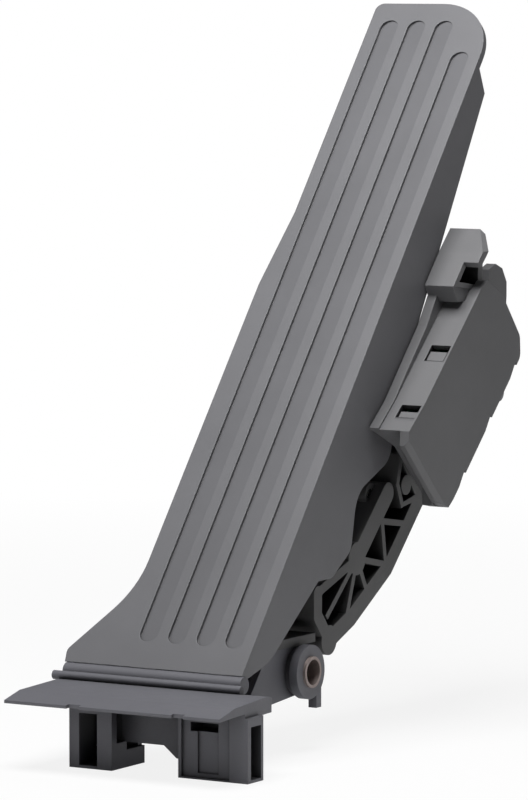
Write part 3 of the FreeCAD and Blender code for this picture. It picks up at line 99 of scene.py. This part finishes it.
# Moulded skins: faint clouds, flow marks, light specks of grain, painted shade in deep recesses.
# A level is where a mask starts and a slope is how fast it grows. A tone multiplies the colour,
# and a swing is how far the roughness moves.
CLOUD_SIZE = 28 * MILLIMETRE
CLOUD_SHARE = 0.10
FLOW_SIZE = 4.5 * MILLIMETRE
FLOW_SWING = 0.10
FLOW_HEIGHT = 0.4
PIT_SWING = 0.16
SPECK_LEVEL = 0.62
SPECK_SLOPE = 5.0
SPECK_SHARE = 0.35
SPECK_TONE = 1.45
# Painted shade in recesses: its reach, where it starts, how fast it grows, how dark it goes.
PAINTED_SHADE_REACH = 20 * MILLIMETRE
PAINTED_SHADE_LEVEL = 0.81
PAINTED_SHADE_SLOPE = 2.0
PAINTED_SHADE_TONE = 0.12

# Metals: marks that run round the piece, their depth by the way it was made, and stains.
MARK_WIDTH = 0.12 * MILLIMETRE
MARK_STRETCH = (1.0, 0.12, 0.12)
MARK_SWING = 0.22
STAIN_SIZE = 3 * MILLIMETRE
STAIN_SWING = 0.12
STAMPED = 0.002 * MILLIMETRE
GROUND = 0.004 * MILLIMETRE
DRAWN = 0.006 * MILLIMETRE

# Rubber, the circuit board and sintered pieces.
BLOOM_SIZE = 2.5 * MILLIMETRE
BLOOM_SWING = 0.2
SKIN_SIZE = 0.3 * MILLIMETRE
SKIN_DEPTH = 0.02 * MILLIMETRE
TRACK_APART = 6 * MILLIMETRE
TRACK_WIDE = 0.06
TRACK_SINK = 0.5
WEAVE_SIZE = 0.5 * MILLIMETRE
WEAVE_SWING = 0.1
GRIT_SIZE = 0.35 * MILLIMETRE
GRIT_SWING = 0.25
GRIT_DEPTH = 0.03 * MILLIMETRE

# The floor keeps its shadow up to FADE_START from the middle and is white FADE_LENGTH further.
# Its glow is the share of plain white in it: GLOW_UNSEEN for bounced light, more by GLOW_NEAR
# where the camera sees it near the pedal, and by GLOW_FAR as well further off.
FLOOR_SIZE = 30.0
FLOOR_CLOUD = 60 * MILLIMETRE
FADE_START = 0.18
FADE_LENGTH = 0.6
GLOW_UNSEEN = 0.14
GLOW_NEAR = 0.72
GLOW_FAR = 0.14

# Each lamp's place, the point that it lights, and its width and height.
PEDAL_MIDDLE = (0.0, 0.02, 0.06)
PEDAL_TOP = (0.0, 0.10, 0.16)
LAMPS = {
    "key": ((0.03, -0.17, 0.72), PEDAL_TOP, (0.45, 0.35)),
    "left": ((-0.95, -0.85, 0.95), PEDAL_MIDDLE, (0.9, 0.9)),
    "rim": ((0.2, 1.2, 1.0), PEDAL_MIDDLE, (0.9, 0.9)),
}
SENSOR_WIDTH = 36.0
CLIP_START = 0.05
CLIP_END = 60.0


class PedalPlastics(bpy.types.PropertyGroup):
    """Colours and grain of the moulded plastics."""

    treadle: bpy.props.FloatVectorProperty(
        name="Treadle", description="Plastic of the treadle", subtype="COLOR",
        size=3, default=(0.158, 0.158, 0.168), min=0.0, max=1.0,
    )
    bracket: bpy.props.FloatVectorProperty(
        name="Foot bracket", description="Plastic of the foot bracket", subtype="COLOR",
        size=3, default=(0.150, 0.150, 0.168), min=0.0, max=1.0,
    )
    carrier: bpy.props.FloatVectorProperty(
        name="Carrier", description="Glass-filled plastic of the carrier and lever",
        subtype="COLOR", size=3, default=(0.108, 0.108, 0.109), min=0.0, max=1.0,
    )
    housing: bpy.props.FloatVectorProperty(
        name="Sensor case", description="Plastic of the sensor housing and its cover",
        subtype="COLOR", size=3, default=(0.158, 0.158, 0.164), min=0.0, max=1.0,
    )
    bush: bpy.props.FloatVectorProperty(
        name="Bushes", description="Natural low-friction plastic", subtype="COLOR",
        size=3, default=(0.58, 0.55, 0.47), min=0.0, max=1.0,
    )
    roughness: bpy.props.FloatProperty(
        name="Roughness", description="Mean roughness of the moulded skins", subtype="FACTOR",
        default=0.46, min=0.0, max=1.0,
    )
    grain_size: bpy.props.FloatProperty(
        name="Grain size", description="Width of one pit of the spark-eroded grain",
        unit="LENGTH", default=0.45 * MILLIMETRE, min=0.05 * MILLIMETRE, max=5 * MILLIMETRE,
        precision=5,
    )
    grain_height: bpy.props.FloatProperty(
        name="Grain height", description="Depth of the grain", unit="LENGTH",
        default=0.022 * MILLIMETRE, min=0.0, max=MILLIMETRE, precision=6,
    )


class PedalMetals(bpy.types.PropertyGroup):
    """Colours of the metal, rubber and electric pieces."""

    steel: bpy.props.FloatVectorProperty(
        name="Steel", description="Ground steel of the shaft and pins", subtype="COLOR",
        size=3, default=(0.56, 0.56, 0.57), min=0.0, max=1.0,
    )
    sleeve: bpy.props.FloatVectorProperty(
        name="Sleeve", description="Browned steel of the mounting sleeve", subtype="COLOR",
        size=3, default=(0.46, 0.39, 0.37), min=0.0, max=1.0,
    )
    zinc: bpy.props.FloatVectorProperty(
        name="Zinc plate", description="Plating of the screws", subtype="COLOR",
        size=3, default=(0.44, 0.45, 0.47), min=0.0, max=1.0,
    )
    spring: bpy.props.FloatVectorProperty(
        name="Spring steel", description="Oiled wire of the springs", subtype="COLOR",
        size=3, default=(0.27, 0.27, 0.28), min=0.0, max=1.0,
    )
    terminal: bpy.props.FloatVectorProperty(
        name="Terminals", description="Tinned brass blades of the socket", subtype="COLOR",
        size=3, default=(0.70, 0.62, 0.44), min=0.0, max=1.0,
    )
    rubber: bpy.props.FloatVectorProperty(
        name="Rubber", description="Stop pad and shaft seal", subtype="COLOR",
        size=3, default=(0.022, 0.022, 0.022), min=0.0, max=1.0,
    )
    board: bpy.props.FloatVectorProperty(
        name="Circuit board", description="Coating of the board", subtype="COLOR",
        size=3, default=(0.02, 0.16, 0.06), min=0.0, max=1.0,
    )
    chip: bpy.props.FloatVectorProperty(
        name="Chips", description="Resin of the sensor chips", subtype="COLOR",
        size=3, default=(0.018, 0.018, 0.018), min=0.0, max=1.0,
    )
    magnet: bpy.props.FloatVectorProperty(
        name="Magnet", description="Sintered magnet", subtype="COLOR",
        size=3, default=(0.10, 0.095, 0.09), min=0.0, max=1.0,
    )


class PedalEdges(bpy.types.PropertyGroup):
    """How soft the corners of the mouldings look."""

    treadle: bpy.props.FloatProperty(
        name="Treadle corners", description="Radius on the treadle's corners", unit="LENGTH",
        default=0.45 * MILLIMETRE, min=0.0, max=2 * MILLIMETRE, precision=5,
    )
    case: bpy.props.FloatProperty(
        name="Case corners", description="Radius on the sensor case's corners", unit="LENGTH",
        default=0.4 * MILLIMETRE, min=0.0, max=2 * MILLIMETRE, precision=5,
    )
    rib: bpy.props.FloatProperty(
        name="Rib corners", description="Radius on the carrier's and bracket's corners",
        unit="LENGTH", default=0.3 * MILLIMETRE, min=0.0, max=2 * MILLIMETRE, precision=5,
    )


class PedalStage(bpy.types.PropertyGroup):
    """The floor, the lamps and the camera."""

    floor: bpy.props.FloatVectorProperty(
        name="Floor", description="Colour of the floor", subtype="COLOR",
        size=3, default=(0.92, 0.92, 0.92), min=0.0, max=1.0,
    )
    sky: bpy.props.FloatProperty(
        name="Room light", description="Strength of the even light from all round",
        default=0.06, min=0.0,
    )
    key: bpy.props.FloatProperty(
        name="Key lamp", description="Power of the large soft lamp", unit="POWER",
        default=5.8, min=0.0,
    )
    left: bpy.props.FloatProperty(
        name="Left lamp", description="Power of the lamp on the driver's left", unit="POWER",
        default=1.0, min=0.0,
    )
    rim: bpy.props.FloatProperty(
        name="Rim lamp", description="Power of the lamp behind", unit="POWER",
        default=3.0, min=0.0,
    )
    eye: bpy.props.FloatVectorProperty(
        name="Camera place", description="Where the camera stands", subtype="XYZ",
        unit="LENGTH", size=3, default=(0.8583, -1.4183, 0.2366),
    )
    target: bpy.props.FloatVectorProperty(
        name="Camera target", description="The place that the camera looks at", subtype="XYZ",
        unit="LENGTH", size=3, default=(0.0272, -0.0352, 0.0926),
    )
    lens: bpy.props.FloatProperty(
        name="Lens", description="Focal length in millimetres", unit="CAMERA",
        default=227.25, min=1.0,
    )


class Wire:
    """A shader socket that Python's own signs act on."""

    def __init__(self, graph, socket):
        self.graph = graph
        self.socket = socket

    def combine(self, operation, first, second):
        made = self.graph.node("ShaderNodeMath", {"operation": operation}, {0: first, 1: second})
        return made.out("Value")

    def __add__(self, other):
        return self.combine("ADD", self, other)

    def __radd__(self, other):
        return self.combine("ADD", other, self)

    def __sub__(self, other):
        return self.combine("SUBTRACT", self, other)

    def __rsub__(self, other):
        return self.combine("SUBTRACT", other, self)

    def __mul__(self, other):
        return self.combine("MULTIPLY", self, other)

    def __rmul__(self, other):
        return self.combine("MULTIPLY", other, self)

    def __truediv__(self, other):
        return self.combine("DIVIDE", self, other)

    def clamp(self):
        return self.graph.node("ShaderNodeClamp", {}, {"Value": self}).out("Result")


class Made:
    """A node that was made, whose outputs come out as wires."""

    def __init__(self, graph, node):
        self.graph = graph
        self.node = node

    def out(self, name):
        return Wire(self.graph, self.node.outputs[name])


class Graph:
    """The nodes of one material."""

    def __init__(self, name):
        self.material = bpy.data.materials.new(name)
        self.material.use_nodes = True
        self.tree = self.material.node_tree
        self.tree.nodes.clear()

    def node(self, kind, settings, inputs):
        node = self.tree.nodes.new(kind)
        for key, value in settings.items():
            setattr(node, key, value)
        for key, value in inputs.items():
            self.feed(node.inputs[key], value)
        return Made(self, node)

    def feed(self, socket, value):
        if isinstance(value, Wire):
            self.tree.links.new(value.socket, socket)
        else:
            socket.default_value = value

    def place(self):
        return self.node("ShaderNodeTexCoord", {}, {}).out("Object")

    def noise(self, vector, size, detail, roughness):
        made = self.node("ShaderNodeTexNoise", {}, {
            "Vector": vector, "Scale": 1.0 / size, "Detail": detail, "Roughness": roughness,
        })
        return made.out("Fac")

    def blend(self, factor, first, second):
        made = self.node(
            "ShaderNodeMix", {"data_type": "RGBA"}, {"Factor": factor, 6: first, 7: second},
        )
        return made.out(2)

    def soft_corners(self, radius):
        return self.node("ShaderNodeBevel", {"samples": 6}, {"Radius": radius}).out("Normal")

    def openness(self, reach):
        """How open the surface lies, the mask for painted shade: 1 on outer skins, towards 0 deep
        in a recess.
        """
        settings = {"samples": 8, "only_local": True}
        return self.node("ShaderNodeAmbientOcclusion", settings, {"Distance": reach}).out("AO")

    def bump(self, height, distance, under=None):
        inputs = {"Height": height, "Distance": distance, "Strength": 1.0}
        if under is not None:
            inputs["Normal"] = under
        return self.node("ShaderNodeBump", {}, inputs).out("Normal")

    def finish(self, shader):
        self.node("ShaderNodeOutputMaterial", {}, {"Surface": shader})
        return self.material

    def principled(self, inputs):
        return self.finish(self.node("ShaderNodeBsdfPrincipled", {}, inputs).out("BSDF"))


def shade(colour, factor):
    return tuple(min(1.0, channel * factor) for channel in colour) + (1.0,)


def around(middle, noise, swing):
    """A value that a noise moves up and down by half the swing."""
    return middle + (noise - 0.5) * swing


def moulded_plastic(name, colour, roughness, grain_size, grain_height, corner):
    """A spark-eroded moulding: faint clouds, fine pits, soft corners and painted shade in
    recesses.
    """
    graph = Graph(name)
    place = graph.place()
    cloud = graph.noise(place, CLOUD_SIZE, detail=3.0, roughness=0.55)
    pits = graph.noise(place, grain_size, detail=2.0, roughness=0.6)
    flow = graph.noise(place, FLOW_SIZE, detail=2.0, roughness=0.5)
    tone = graph.blend(cloud, shade(colour, 1.0 - CLOUD_SHARE), shade(colour, 1.0 + CLOUD_SHARE))
    speck = ((pits - SPECK_LEVEL) * SPECK_SLOPE).clamp() * SPECK_SHARE
    tone = graph.blend(speck, tone, shade(colour, SPECK_TONE))
    # Painted shade: the colour darkens where the surface is closed in.
    painted_shade = ((PAINTED_SHADE_LEVEL - graph.openness(PAINTED_SHADE_REACH)) * PAINTED_SHADE_SLOPE).clamp()
    tone = graph.blend(painted_shade, tone, shade(colour, PAINTED_SHADE_TONE))
    rough = around(around(roughness, flow, FLOW_SWING), pits, PIT_SWING)
    normal = graph.bump(pits + flow * FLOW_HEIGHT, grain_height, graph.soft_corners(corner))
    return graph.principled({"Base Color": tone, "Roughness": rough.clamp(), "Normal": normal})


def turned_metal(name, colour, roughness, mark_depth):
    """Metal with fine marks round it and a little staining."""
    graph = Graph(name)
    place = graph.place()
    stretched = graph.node("ShaderNodeMapping", {}, {"Vector": place, "Scale": MARK_STRETCH})
    marks = graph.noise(stretched.out("Vector"), MARK_WIDTH, detail=3.0, roughness=0.6)
    stain = graph.noise(place, STAIN_SIZE, detail=3.0, roughness=0.6)
    tone = graph.blend(stain, shade(colour, 0.86), shade(colour, 1.08))
    rough = around(around(roughness, marks, MARK_SWING), stain, STAIN_SWING)
    return graph.principled({
        "Base Color": tone, "Metallic": 1.0, "Roughness": rough.clamp(),
        "Normal": graph.bump(marks, mark_depth),
    })


def soft_rubber(name, colour):
    """Dull rubber with a pale bloom."""
    graph = Graph(name)
    place = graph.place()
    bloom = graph.noise(place, BLOOM_SIZE, detail=3.0, roughness=0.6)
    skin = graph.noise(place, SKIN_SIZE, detail=2.0, roughness=0.5)
    tone = graph.blend(bloom, shade(colour, 0.8), shade(colour, 1.5))
    rough = around(0.72, bloom, BLOOM_SWING)
    normal = graph.bump(skin, SKIN_DEPTH)
    return graph.principled({"Base Color": tone, "Roughness": rough.clamp(), "Normal": normal})


def coated_board(name, colour):
    """A circuit board: coated copper tracks on a fine glass weave."""
    graph = Graph(name)
    place = graph.place()
    tracks = graph.node("ShaderNodeTexBrick", {"offset": 0.5}, {
        "Vector": place, "Scale": 1.0 / TRACK_APART, "Mortar Size": TRACK_WIDE,
        "Color1": shade(colour, 1.0), "Color2": shade(colour, 1.15), "Mortar": shade(colour, 1.9),
    })
    weave = graph.noise(place, WEAVE_SIZE, detail=1.0, roughness=0.5)
    tone = graph.blend(weave, tracks.out("Color"), shade(colour, 1.3))
    normal = graph.bump(weave - tracks.out("Fac") * TRACK_SINK, SKIN_DEPTH)
    return graph.principled({
        "Base Color": tone, "Roughness": 0.34 + weave * WEAVE_SWING, "Normal": normal,
    })


def sintered(name, colour, roughness):
    """A pressed or moulded lump with a coarse dull skin."""
    graph = Graph(name)
    place = graph.place()
    grit = graph.noise(place, GRIT_SIZE, detail=3.0, roughness=0.7)
    tone = graph.blend(grit, shade(colour, 0.75), shade(colour, 1.3))
    rough = around(roughness, grit, GRIT_SWING)
    normal = graph.bump(grit, GRIT_DEPTH)
    return graph.principled({"Base Color": tone, "Roughness": rough.clamp(), "Normal": normal})


def white_floor(name, colour):
    """A pale floor that keeps the shadow near the pedal and fades to plain white further off."""
    graph = Graph(name)
    place = graph.place()
    length = graph.node("ShaderNodeVectorMath", {"operation": "LENGTH"}, {0: place}).out("Value")
    far = ((length - FADE_START) / FADE_LENGTH).clamp()
    cloud = graph.noise(place, FLOOR_CLOUD, detail=2.0, roughness=0.5)
    tone = graph.blend(cloud, shade(colour, 0.99), shade(colour, 1.01))
    seen = graph.node("ShaderNodeLightPath", {}, {}).out("Is Camera Ray")
    tone = graph.blend(seen, shade(colour, 0.85), tone)
    paper = graph.node("ShaderNodeBsdfPrincipled", {}, {"Base Color": tone, "Roughness": 0.9})
    glow = graph.node("ShaderNodeEmission", {}, {"Color": WHITE, "Strength": 1.0})
    share = (GLOW_NEAR + far * GLOW_FAR) * seen + GLOW_UNSEEN
    mixed = graph.node("ShaderNodeMixShader", {}, {
        0: share, 1: paper.out("BSDF"), 2: glow.out("Emission"),
    })
    return graph.finish(mixed.out("Shader"))


def clear_selection():
    if bpy.context.mode != "OBJECT":
        bpy.ops.object.mode_set(mode="OBJECT")
    bpy.ops.object.select_all(action="DESELECT")


def only(piece):
    clear_selection()
    piece.select_set(True)
    bpy.context.view_layer.objects.active = piece


def smooth(piece):
    only(piece)
    bpy.ops.object.shade_smooth_by_angle(angle=SMOOTH_ANGLE)


def dress(material, *node_names):
    """Gives CAD nodes their finish and leaves their shape alone."""
    for name in node_names:
        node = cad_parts[name]
        node.data.materials.clear()
        node.data.materials.append(material)


def side_view(low, corner):
    return Vector((low, *corner)) * MILLIMETRE


def front_view(low, corner):
    return Vector((corner[0], low, corner[1])) * MILLIMETRE


def block(name, outline, low, high, view=side_view):
    """A straight block from an outline in one view, from low to high through it."""
    clear_selection()
    bpy.ops.mesh.primitive_circle_add(vertices=len(outline), fill_type="NGON")
    piece = bpy.context.object
    piece.name = name
    bpy.ops.object.mode_set(mode="EDIT")
    mesh = bmesh.from_edit_mesh(piece.data)
    for vertex, corner in zip(mesh.verts, outline):
        vertex.co = view(low, corner)
    bmesh.update_edit_mesh(piece.data)
    across = view(high, outline[0]) - view(low, outline[0])
    bpy.ops.mesh.extrude_region_move(TRANSFORM_OT_translate={"value": across})
    bpy.ops.mesh.select_all(action="SELECT")
    bpy.ops.mesh.normals_make_consistent(inside=False)
    bpy.ops.object.mode_set(mode="OBJECT")
    return piece


def side_disc(name, centre, radius, low, high):
    """A round block across the pedal, from low to high."""
    clear_selection()
    bpy.ops.mesh.primitive_cylinder_add(
        vertices=BOSS_SIDES, radius=radius * MILLIMETRE, depth=(high - low) * MILLIMETRE,
        location=side_view((low + high) / 2, centre), rotation=(0.0, math.radians(90), 0.0),
    )
    disc = bpy.context.object
    disc.name = name
    bpy.ops.object.transform_apply(location=True, rotation=True, scale=True)
    return disc


def carve(piece, tool, operation):
    """Takes the tool's shape out of the piece, or adds it, and clears the tool away."""
    only(piece)
    step = piece.modifiers.new("carve", "BOOLEAN")
    step.object = tool
    step.operation = operation
    step.solver = "EXACT"
    bpy.ops.object.modifier_apply(modifier="carve")
    bpy.data.objects.remove(tool, do_unlink=True)


def copy_of(node_name, piece_name, material):
    """A merged copy of a CAD node, which stands for the node and may be changed."""
    piece = bpy.data.objects.new(piece_name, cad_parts[node_name].data.copy())
    bpy.context.scene.collection.objects.link(piece)
    only(piece)
    bpy.ops.object.mode_set(mode="EDIT")
    bpy.ops.mesh.select_all(action="SELECT")
    bpy.ops.mesh.remove_doubles(threshold=WELD)
    bpy.ops.mesh.customdata_custom_splitnormals_clear()
    bpy.ops.object.mode_set(mode="OBJECT")
    piece.data.materials.clear()
    piece.data.materials.append(material)
    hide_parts(node_name)
    return piece


def plastic(colour_name, name, corner_name, roughness_shift=0.0, grain=1.0):
    """A moulded skin from the scene's own colours, grain and corners."""
    looks = bpy.context.scene.pedal_plastics
    return moulded_plastic(
        name, getattr(looks, colour_name)[:], looks.roughness + roughness_shift,
        looks.grain_size * grain, looks.grain_height * grain,
        getattr(bpy.context.scene.pedal_edges, corner_name),
    )


class PEDAL_OT_treadle(bpy.types.Operator):
    """Gives the treadle its moulded skin"""

    bl_idname = "pedal.treadle"
    bl_label = "Treadle"

    def execute(self, context):
        dress(plastic("treadle", "treadle plastic", "treadle"), "pedal_plate")
        return {"FINISHED"}


class PEDAL_OT_foot_bracket(bpy.types.Operator):
    """Closes the left foot, slopes the tie and gives the foot bracket its moulded skin"""

    bl_idname = "pedal.foot_bracket"
    bl_label = "Foot bracket"

    def execute(self, context):
        skin = plastic("bracket", "bracket plastic", "rib", roughness_shift=0.02)
        bracket = copy_of("foot_bracket", "bracket", skin)
        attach(bracket, "base")
        carve(bracket, block("foot_back", FOOT_BACK, *FOOT_BACK_SPAN), "UNION")
        carve(bracket, block("foot_side", FOOT_SIDE, *FOOT_SIDE_SPAN), "UNION")
        carve(bracket, block("tie_slope", TIE_SLOPE, *TIE_SPAN, view=front_view), "UNION")
        smooth(bracket)
        return {"FINISHED"}


class PEDAL_OT_carrier(bpy.types.Operator):
    """Opens the truss carrier's upper cell and gives the carrier its glass-filled skin"""

    bl_idname = "pedal.carrier"
    bl_label = "Truss carrier"

    def execute(self, context):
        skin = plastic("carrier", "carrier plastic", "rib", roughness_shift=0.04, grain=1.3)
        carrier = copy_of("carrier_frame", "carrier", skin)
        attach(carrier, "base")
        low, high = CARRIER_HALF - PAST_CHEEK, CARRIER_HALF + PAST_SKIN
        for name, *span in (("right", low, high), ("left", -high, -low)):
            cell = block("cell_" + name, CELL_ROOM, *span)
            boss = side_disc("core_" + name, CELL_BOSS, BOSS_RADIUS, span[0] - 1, span[1] + 1)
            carve(cell, boss, "DIFFERENCE")
            carve(carrier, cell, "DIFFERENCE")
            carve(carrier, block("gap_" + name, CHEEK_GAP, *span), "DIFFERENCE")
        smooth(carrier)
        return {"FINISHED"}


class PEDAL_OT_sensor_case(bpy.types.Operator):
    """Gives the sensor housing and its cover their skins"""

    bl_idname = "pedal.sensor_case"
    bl_label = "Sensor case"

    def execute(self, context):
        skin = plastic("housing", "housing plastic", "case", grain=1.2)
        dress(skin, "sensor_housing", "housing_cover")
        return {"FINISHED"}


class PEDAL_OT_lever_works(bpy.types.Operator):
    """Finishes the lever, its shaft, bushes and pins, and gives the springs smoothed wire copies
    """

    bl_idname = "pedal.lever_works"
    bl_label = "Lever and springs"

    def execute(self, context):
        looks = context.scene.pedal_metals
        steel = turned_metal("ground steel", looks.steel[:], roughness=0.28, mark_depth=GROUND)
        browned = turned_metal("browned steel", looks.sleeve[:], roughness=0.55, mark_depth=DRAWN)
        wire = turned_metal("spring wire", looks.spring[:], roughness=0.36, mark_depth=DRAWN)
        bush = plastic("bush", "bush plastic", "rib", roughness_shift=-0.06)
        dress(plastic("carrier", "lever plastic", "rib"), "actuating_lever")
        dress(steel, "pivot_shaft", "guide_pin", "stop_pin")
        dress(browned, "mounting_sleeve")
        dress(bush, "bearing_bush_left", "bearing_bush_right", "magnet_holder")
        for side, name in ((-1.0, "spring_left"), (1.0, "spring_right")):
            spring = copy_of("return_" + name, name, wire)
            smooth(spring)
            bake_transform(spring)
        return {"FINISHED"}


class PEDAL_OT_sensor_works(bpy.types.Operator):
    """Gives the pieces inside the sensor case their finishes"""

    bl_idname = "pedal.sensor_works"
    bl_label = "Sensor inside"

    def execute(self, context):
        looks = context.scene.pedal_metals
        dress(coated_board("board coating", looks.board[:]), "circuit_board")
        brass = turned_metal("tinned brass", looks.terminal[:], roughness=0.26, mark_depth=STAMPED)
        dress(sintered("chip resin", looks.chip[:], roughness=0.5), "hall_chips")
        dress(sintered("sintered magnet", looks.magnet[:], roughness=0.55), "ring_magnet")
        dress(brass, "socket_terminals")
        dress(soft_rubber("black rubber", looks.rubber[:]), "shaft_seal", "idle_stop_pad")
        return {"FINISHED"}


class PEDAL_OT_screws(bpy.types.Operator):
    """Gives the screws their plating"""

    bl_idname = "pedal.screws"
    bl_label = "Screws"

    def execute(self, context):
        looks = context.scene.pedal_metals
        zinc = turned_metal("zinc plate", looks.zinc[:], roughness=0.38, mark_depth=GROUND)
        dress(zinc, "housing_screws", "carrier_screws")
        return {"FINISHED"}


def aimed(place, target):
    """The turn that points a lamp or a camera at its target."""
    return (Vector(target) - Vector(place)).to_track_quat("-Z", "Y").to_euler()


class PEDAL_OT_stage(bpy.types.Operator):
    """Sets the floor, the lamps, the room light and the camera"""

    bl_idname = "pedal.stage"
    bl_label = "Stage"

    def execute(self, context):
        looks = context.scene.pedal_stage
        self.lay_floor(looks)
        self.light_room(looks)
        for name, (place, target, size) in LAMPS.items():
            self.add_lamp(name, place, target, size, getattr(looks, name))
        self.set_camera(looks)
        context.scene.view_settings.view_transform = "Standard"
        return {"FINISHED"}

    def lay_floor(self, looks):
        clear_selection()
        bpy.ops.mesh.primitive_plane_add(size=FLOOR_SIZE, location=(0.0, 0.0, 0.0))
        floor = bpy.context.object
        floor.name = "floor"
        bpy.ops.object.mode_set(mode="EDIT")
        bpy.ops.mesh.select_all(action="SELECT")
        bpy.ops.transform.translate(value=(0.0, 0.0, CAD_BOX[0].z))
        bpy.ops.object.mode_set(mode="OBJECT")
        floor.data.materials.append(white_floor("floor paper", looks.floor[:]))

    def light_room(self, looks):
        """An even light all round, which the camera itself sees as plain white."""
        world = bpy.data.worlds.new("room")
        bpy.context.scene.world = world
        world.use_nodes = True
        tree = world.node_tree
        tree.nodes.clear()
        path = tree.nodes.new("ShaderNodeLightPath")
        mix = tree.nodes.new("ShaderNodeMixShader")
        output = tree.nodes.new("ShaderNodeOutputWorld")
        tree.links.new(path.outputs["Is Camera Ray"], mix.inputs[0])
        for socket, strength in ((mix.inputs[1], looks.sky), (mix.inputs[2], 1.0)):
            light = tree.nodes.new("ShaderNodeBackground")
            light.inputs["Color"].default_value = WHITE
            light.inputs["Strength"].default_value = strength
            tree.links.new(light.outputs["Background"], socket)
        tree.links.new(mix.outputs["Shader"], output.inputs["Surface"])

    def add_lamp(self, name, place, target, size, power):
        light = bpy.data.lights.new(name, "AREA")
        light.shape = "RECTANGLE"
        light.size, light.size_y = size
        light.energy = power
        lamp = bpy.data.objects.new(name, light)
        bpy.context.scene.collection.objects.link(lamp)
        lamp.location = place
        lamp.rotation_euler = aimed(place, target)

    def set_camera(self, looks):
        data = bpy.data.cameras.new("camera")
        data.sensor_width = SENSOR_WIDTH
        data.lens = looks.lens
        data.clip_start = CLIP_START
        data.clip_end = CLIP_END
        camera = bpy.data.objects.new("camera", data)
        bpy.context.scene.collection.objects.link(camera)
        camera.location = looks.eye
        camera.rotation_euler = aimed(looks.eye, looks.target)
        bpy.context.scene.camera = camera


STEPS = (
    PEDAL_OT_treadle,
    PEDAL_OT_foot_bracket,
    PEDAL_OT_carrier,
    PEDAL_OT_sensor_case,
    PEDAL_OT_lever_works,
    PEDAL_OT_sensor_works,
    PEDAL_OT_screws,
    PEDAL_OT_stage,
)
GROUPS = {
    "pedal_plastics": PedalPlastics,
    "pedal_metals": PedalMetals,
    "pedal_edges": PedalEdges,
    "pedal_stage": PedalStage,
}


class PEDAL_PT_steps(bpy.types.Panel):
    """Lists the pedal's sizes, colours and steps"""

    bl_idname = "PEDAL_PT_steps"
    bl_label = "Accelerator pedal"
    bl_space_type = "VIEW_3D"
    bl_region_type = "UI"
    bl_category = "Pedal"

    def draw(self, context):
        for name, group in GROUPS.items():
            box = self.layout.box()
            box.label(text=name.replace("_", " ").capitalize())
            for field in group.__annotations__:
                box.prop(getattr(context.scene, name), field)
        for step in STEPS:
            self.layout.operator(step.bl_idname)


def register():
    for group in GROUPS.values():
        bpy.utils.register_class(group)
    for step in (*STEPS, PEDAL_PT_steps):
        bpy.utils.register_class(step)
    for name, group in GROUPS.items():
        setattr(bpy.types.Scene, name, bpy.props.PointerProperty(type=group))


def unregister():
    for name in GROUPS:
        delattr(bpy.types.Scene, name)
    for step in reversed((*STEPS, PEDAL_PT_steps)):
        bpy.utils.unregister_class(step)
    for group in reversed(GROUPS.values()):
        bpy.utils.unregister_class(group)


def main():
    register()
    clear_selection()
    bpy.ops.pedal.treadle()
    bpy.ops.pedal.foot_bracket()
    bpy.ops.pedal.carrier()
    bpy.ops.pedal.sensor_case()
    bpy.ops.pedal.lever_works()
    bpy.ops.pedal.sensor_works()
    bpy.ops.pedal.screws()
    bpy.ops.pedal.stage()


if __name__ == "__main__":
    main()
